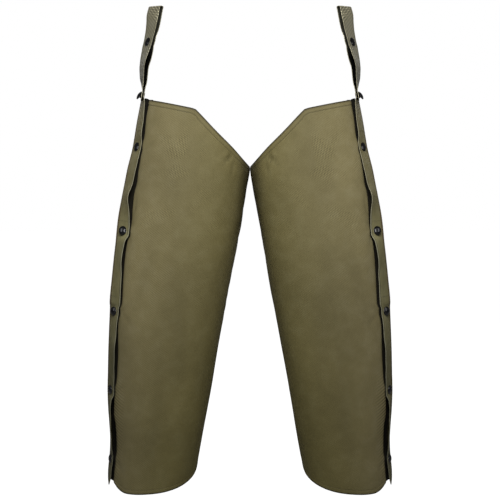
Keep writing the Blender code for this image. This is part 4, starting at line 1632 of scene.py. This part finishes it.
# %% Rows of stitches
sewing = {}
for name, side in SIDES.items():
    mirror = np.array([side, 1, 1])
    sets = {
        "leg": panel_lines(panel_faces[name][0]),
        "placket": long_lines(placket_face) + bar_lines(placket_face),
        "loop": long_lines(loop_face) + [strip_line(loop_face, loop_bar_row, *LOOP_BAR_ENDS)],
    }
    for cloth, lines in sets.items():
        carrier = marked_lines(
            f"{name}_{cloth}_lines", [(p * mirror * MM, n * mirror) for p, n in lines])
        sewing[name, cloth] = grown(
            f"{name}_{cloth}_stitches", carrier, stitch_tree, Seed=3,
            Thread=pale_thread if cloth == "loop" else dark_thread)
BEAD_FACES = 24                        # a bead is a sphere of 6 segments and 4 rings
print("stitches:", {k: len(o.data.polygons) // BEAD_FACES for k, o in sewing.items()})

# %% [markdown]
# ## The studio
# The photograph is a plain product picture on white ground.  A white floor lit to pure white
# would throw much light up into the legs, so the floor and the world are white only to the
# camera and dim to everything else.

# %% Floor and world
FLOOR_Z, FLOOR_REACH = -1.12, 9.0
FLOOR_GREY, WORLD_DIM = (0.16, 0.16, 0.16, 1), 0.08
WHITE = (1, 1, 1, 1)


def make_floor():
    material, tree, _ = new_material("pale_floor")
    tree.nodes.clear()
    seen = add(tree, "ShaderNodeLightPath", out="Is Camera Ray")
    matt = add(tree, "ShaderNodeBsdfDiffuse", {"Color": FLOOR_GREY})
    glow = add(tree, "ShaderNodeEmission", {"Color": WHITE, "Strength": 1.0})
    both = add(tree, "ShaderNodeAddShader", {0: matt, 1: glow})
    mixed = add(tree, "ShaderNodeMixShader", {0: seen, 1: matt, 2: both})
    add(tree, "ShaderNodeOutputMaterial", {"Surface": mixed})
    corners = [(x * FLOOR_REACH, y * FLOOR_REACH, FLOOR_Z)
               for x, y in ((-1, -1), (1, -1), (1, 1), (-1, 1))]
    mesh = bpy.data.meshes.new("floor")
    mesh.from_pydata(corners, [], [(0, 1, 2, 3)])
    mesh.materials.append(material)
    floor = put_in_scene("floor", mesh)
    return floor


def make_world():
    world = bpy.data.worlds.new("studio")
    bpy.context.scene.world = world
    world.use_nodes = True
    tree = world.node_tree
    tree.nodes.clear()
    seen = add(tree, "ShaderNodeLightPath", out="Is Camera Ray")
    white = add(tree, "ShaderNodeBackground", {"Color": WHITE, "Strength": 1.0})
    dim = add(tree, "ShaderNodeBackground", {"Color": WHITE, "Strength": WORLD_DIM})
    mixed = add(tree, "ShaderNodeMixShader", {0: seen, 1: dim, 2: white})
    add(tree, "ShaderNodeOutputWorld", {"Surface": mixed})


floor = make_floor()
make_world()
bpy.context.scene.view_settings.view_transform = "Standard"
print("floor at", FLOOR_Z)

# %% [markdown]
# ### Lights
# Each leg is lit by its own soft key light from high in front, and both legs darken to their
# inner sides and to the hem.  Blender's light linking keeps each key on its own leg, as a flag
# between the legs does in a studio.  A light behind each side keeps the back readable.  Two
# more lights on a side fall on the black studs alone and give their domes the small highlights
# of the photograph.

# %% Lights
# place and aim are those of the side where x grows; the other side mirrors them
Light = namedtuple("Light", "name place aim size power color on")
LIGHTS = (
    Light("key", (0.04, -1.08, 0.25), (0.12, 0.0, -0.45), (0.55, 0.50), 16.6,
          (1.0, 0.985, 0.95), "own_cloth"),
    Light("rear", (0.9, 1.7, 0.5), (0.15, 0.0, -0.6), (0.9, 0.9), 14.0, (1, 1, 1), "all_cloth"),
    Light("glint", (0.73, -1.48, -0.32), (0.27, -0.03, -0.50), (0.30, 1.00), 12.0,
          (1, 1, 1), "own_metal"),
    Light("glow", (1.42, -0.66, -0.26), (0.27, -0.03, -0.50), (0.40, 0.80), 2.6,
          (1, 1, 1), "own_metal"),
)


def named_collection(name, pieces):
    """A collection of the pieces that a light falls on."""
    collection = bpy.data.collections.new(name)
    for piece in pieces:
        collection.objects.link(piece)
    return collection


def soft_light(light, name, side, receivers):
    data = bpy.data.lights.new(f"{name}_{light.name}", "AREA")
    data.shape, data.size, data.size_y = "RECTANGLE", *light.size
    data.energy, data.color = light.power, light.color
    lamp = put_in_scene(data.name, data)
    point_at(lamp, *((side * x, y, z) for x, y, z in (light.place, light.aim)))
    lamp.visible_camera = False
    lamp.light_linking.receiver_collection = receivers


all_cloth = named_collection(
    "all_cloth", [*panels.values(), *plackets.values(), *loops.values(), floor])
for name, side in SIDES.items():
    own_cloth = [panels[name], plackets[name], loops[name], floor]
    own_cloth += [sewing[name, cloth] for cloth in ("leg", "placket", "loop")]
    receivers = {
        "own_cloth": named_collection(f"{name}_cloth", own_cloth),
        "all_cloth": all_cloth,
        "own_metal": named_collection(f"{name}_metal", [stud_pieces[name, p] for p in PROFILES]),
    }
    for light in LIGHTS:
        soft_light(light, name, side, receivers[light.on])

# %% [markdown]
# ## Hand the pieces to the frame
# Each piece rides on the one body and stands for its CAD nodes, which are hidden.

for name, side in SIDES.items():
    for piece, node, slot in ((panels[name], "leg_panel", "coated_cloth"),
                              (plackets[name], "placket", "placket_cloth"),
                              (loops[name], "belt_loop", "placket_cloth")):
        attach(piece, "root")
        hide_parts(f"{name}_{node}")
    for part in PROFILES:
        piece = stud_pieces[name, part]
        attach(piece, "root")
        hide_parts(*[f"{name}_{stud}_stud_{part}" for stud in (*PLACKET_STUDS, *LOOP_STUDS)])
    for cloth in ("leg", "placket", "loop"):
        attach(sewing[name, cloth], "root")
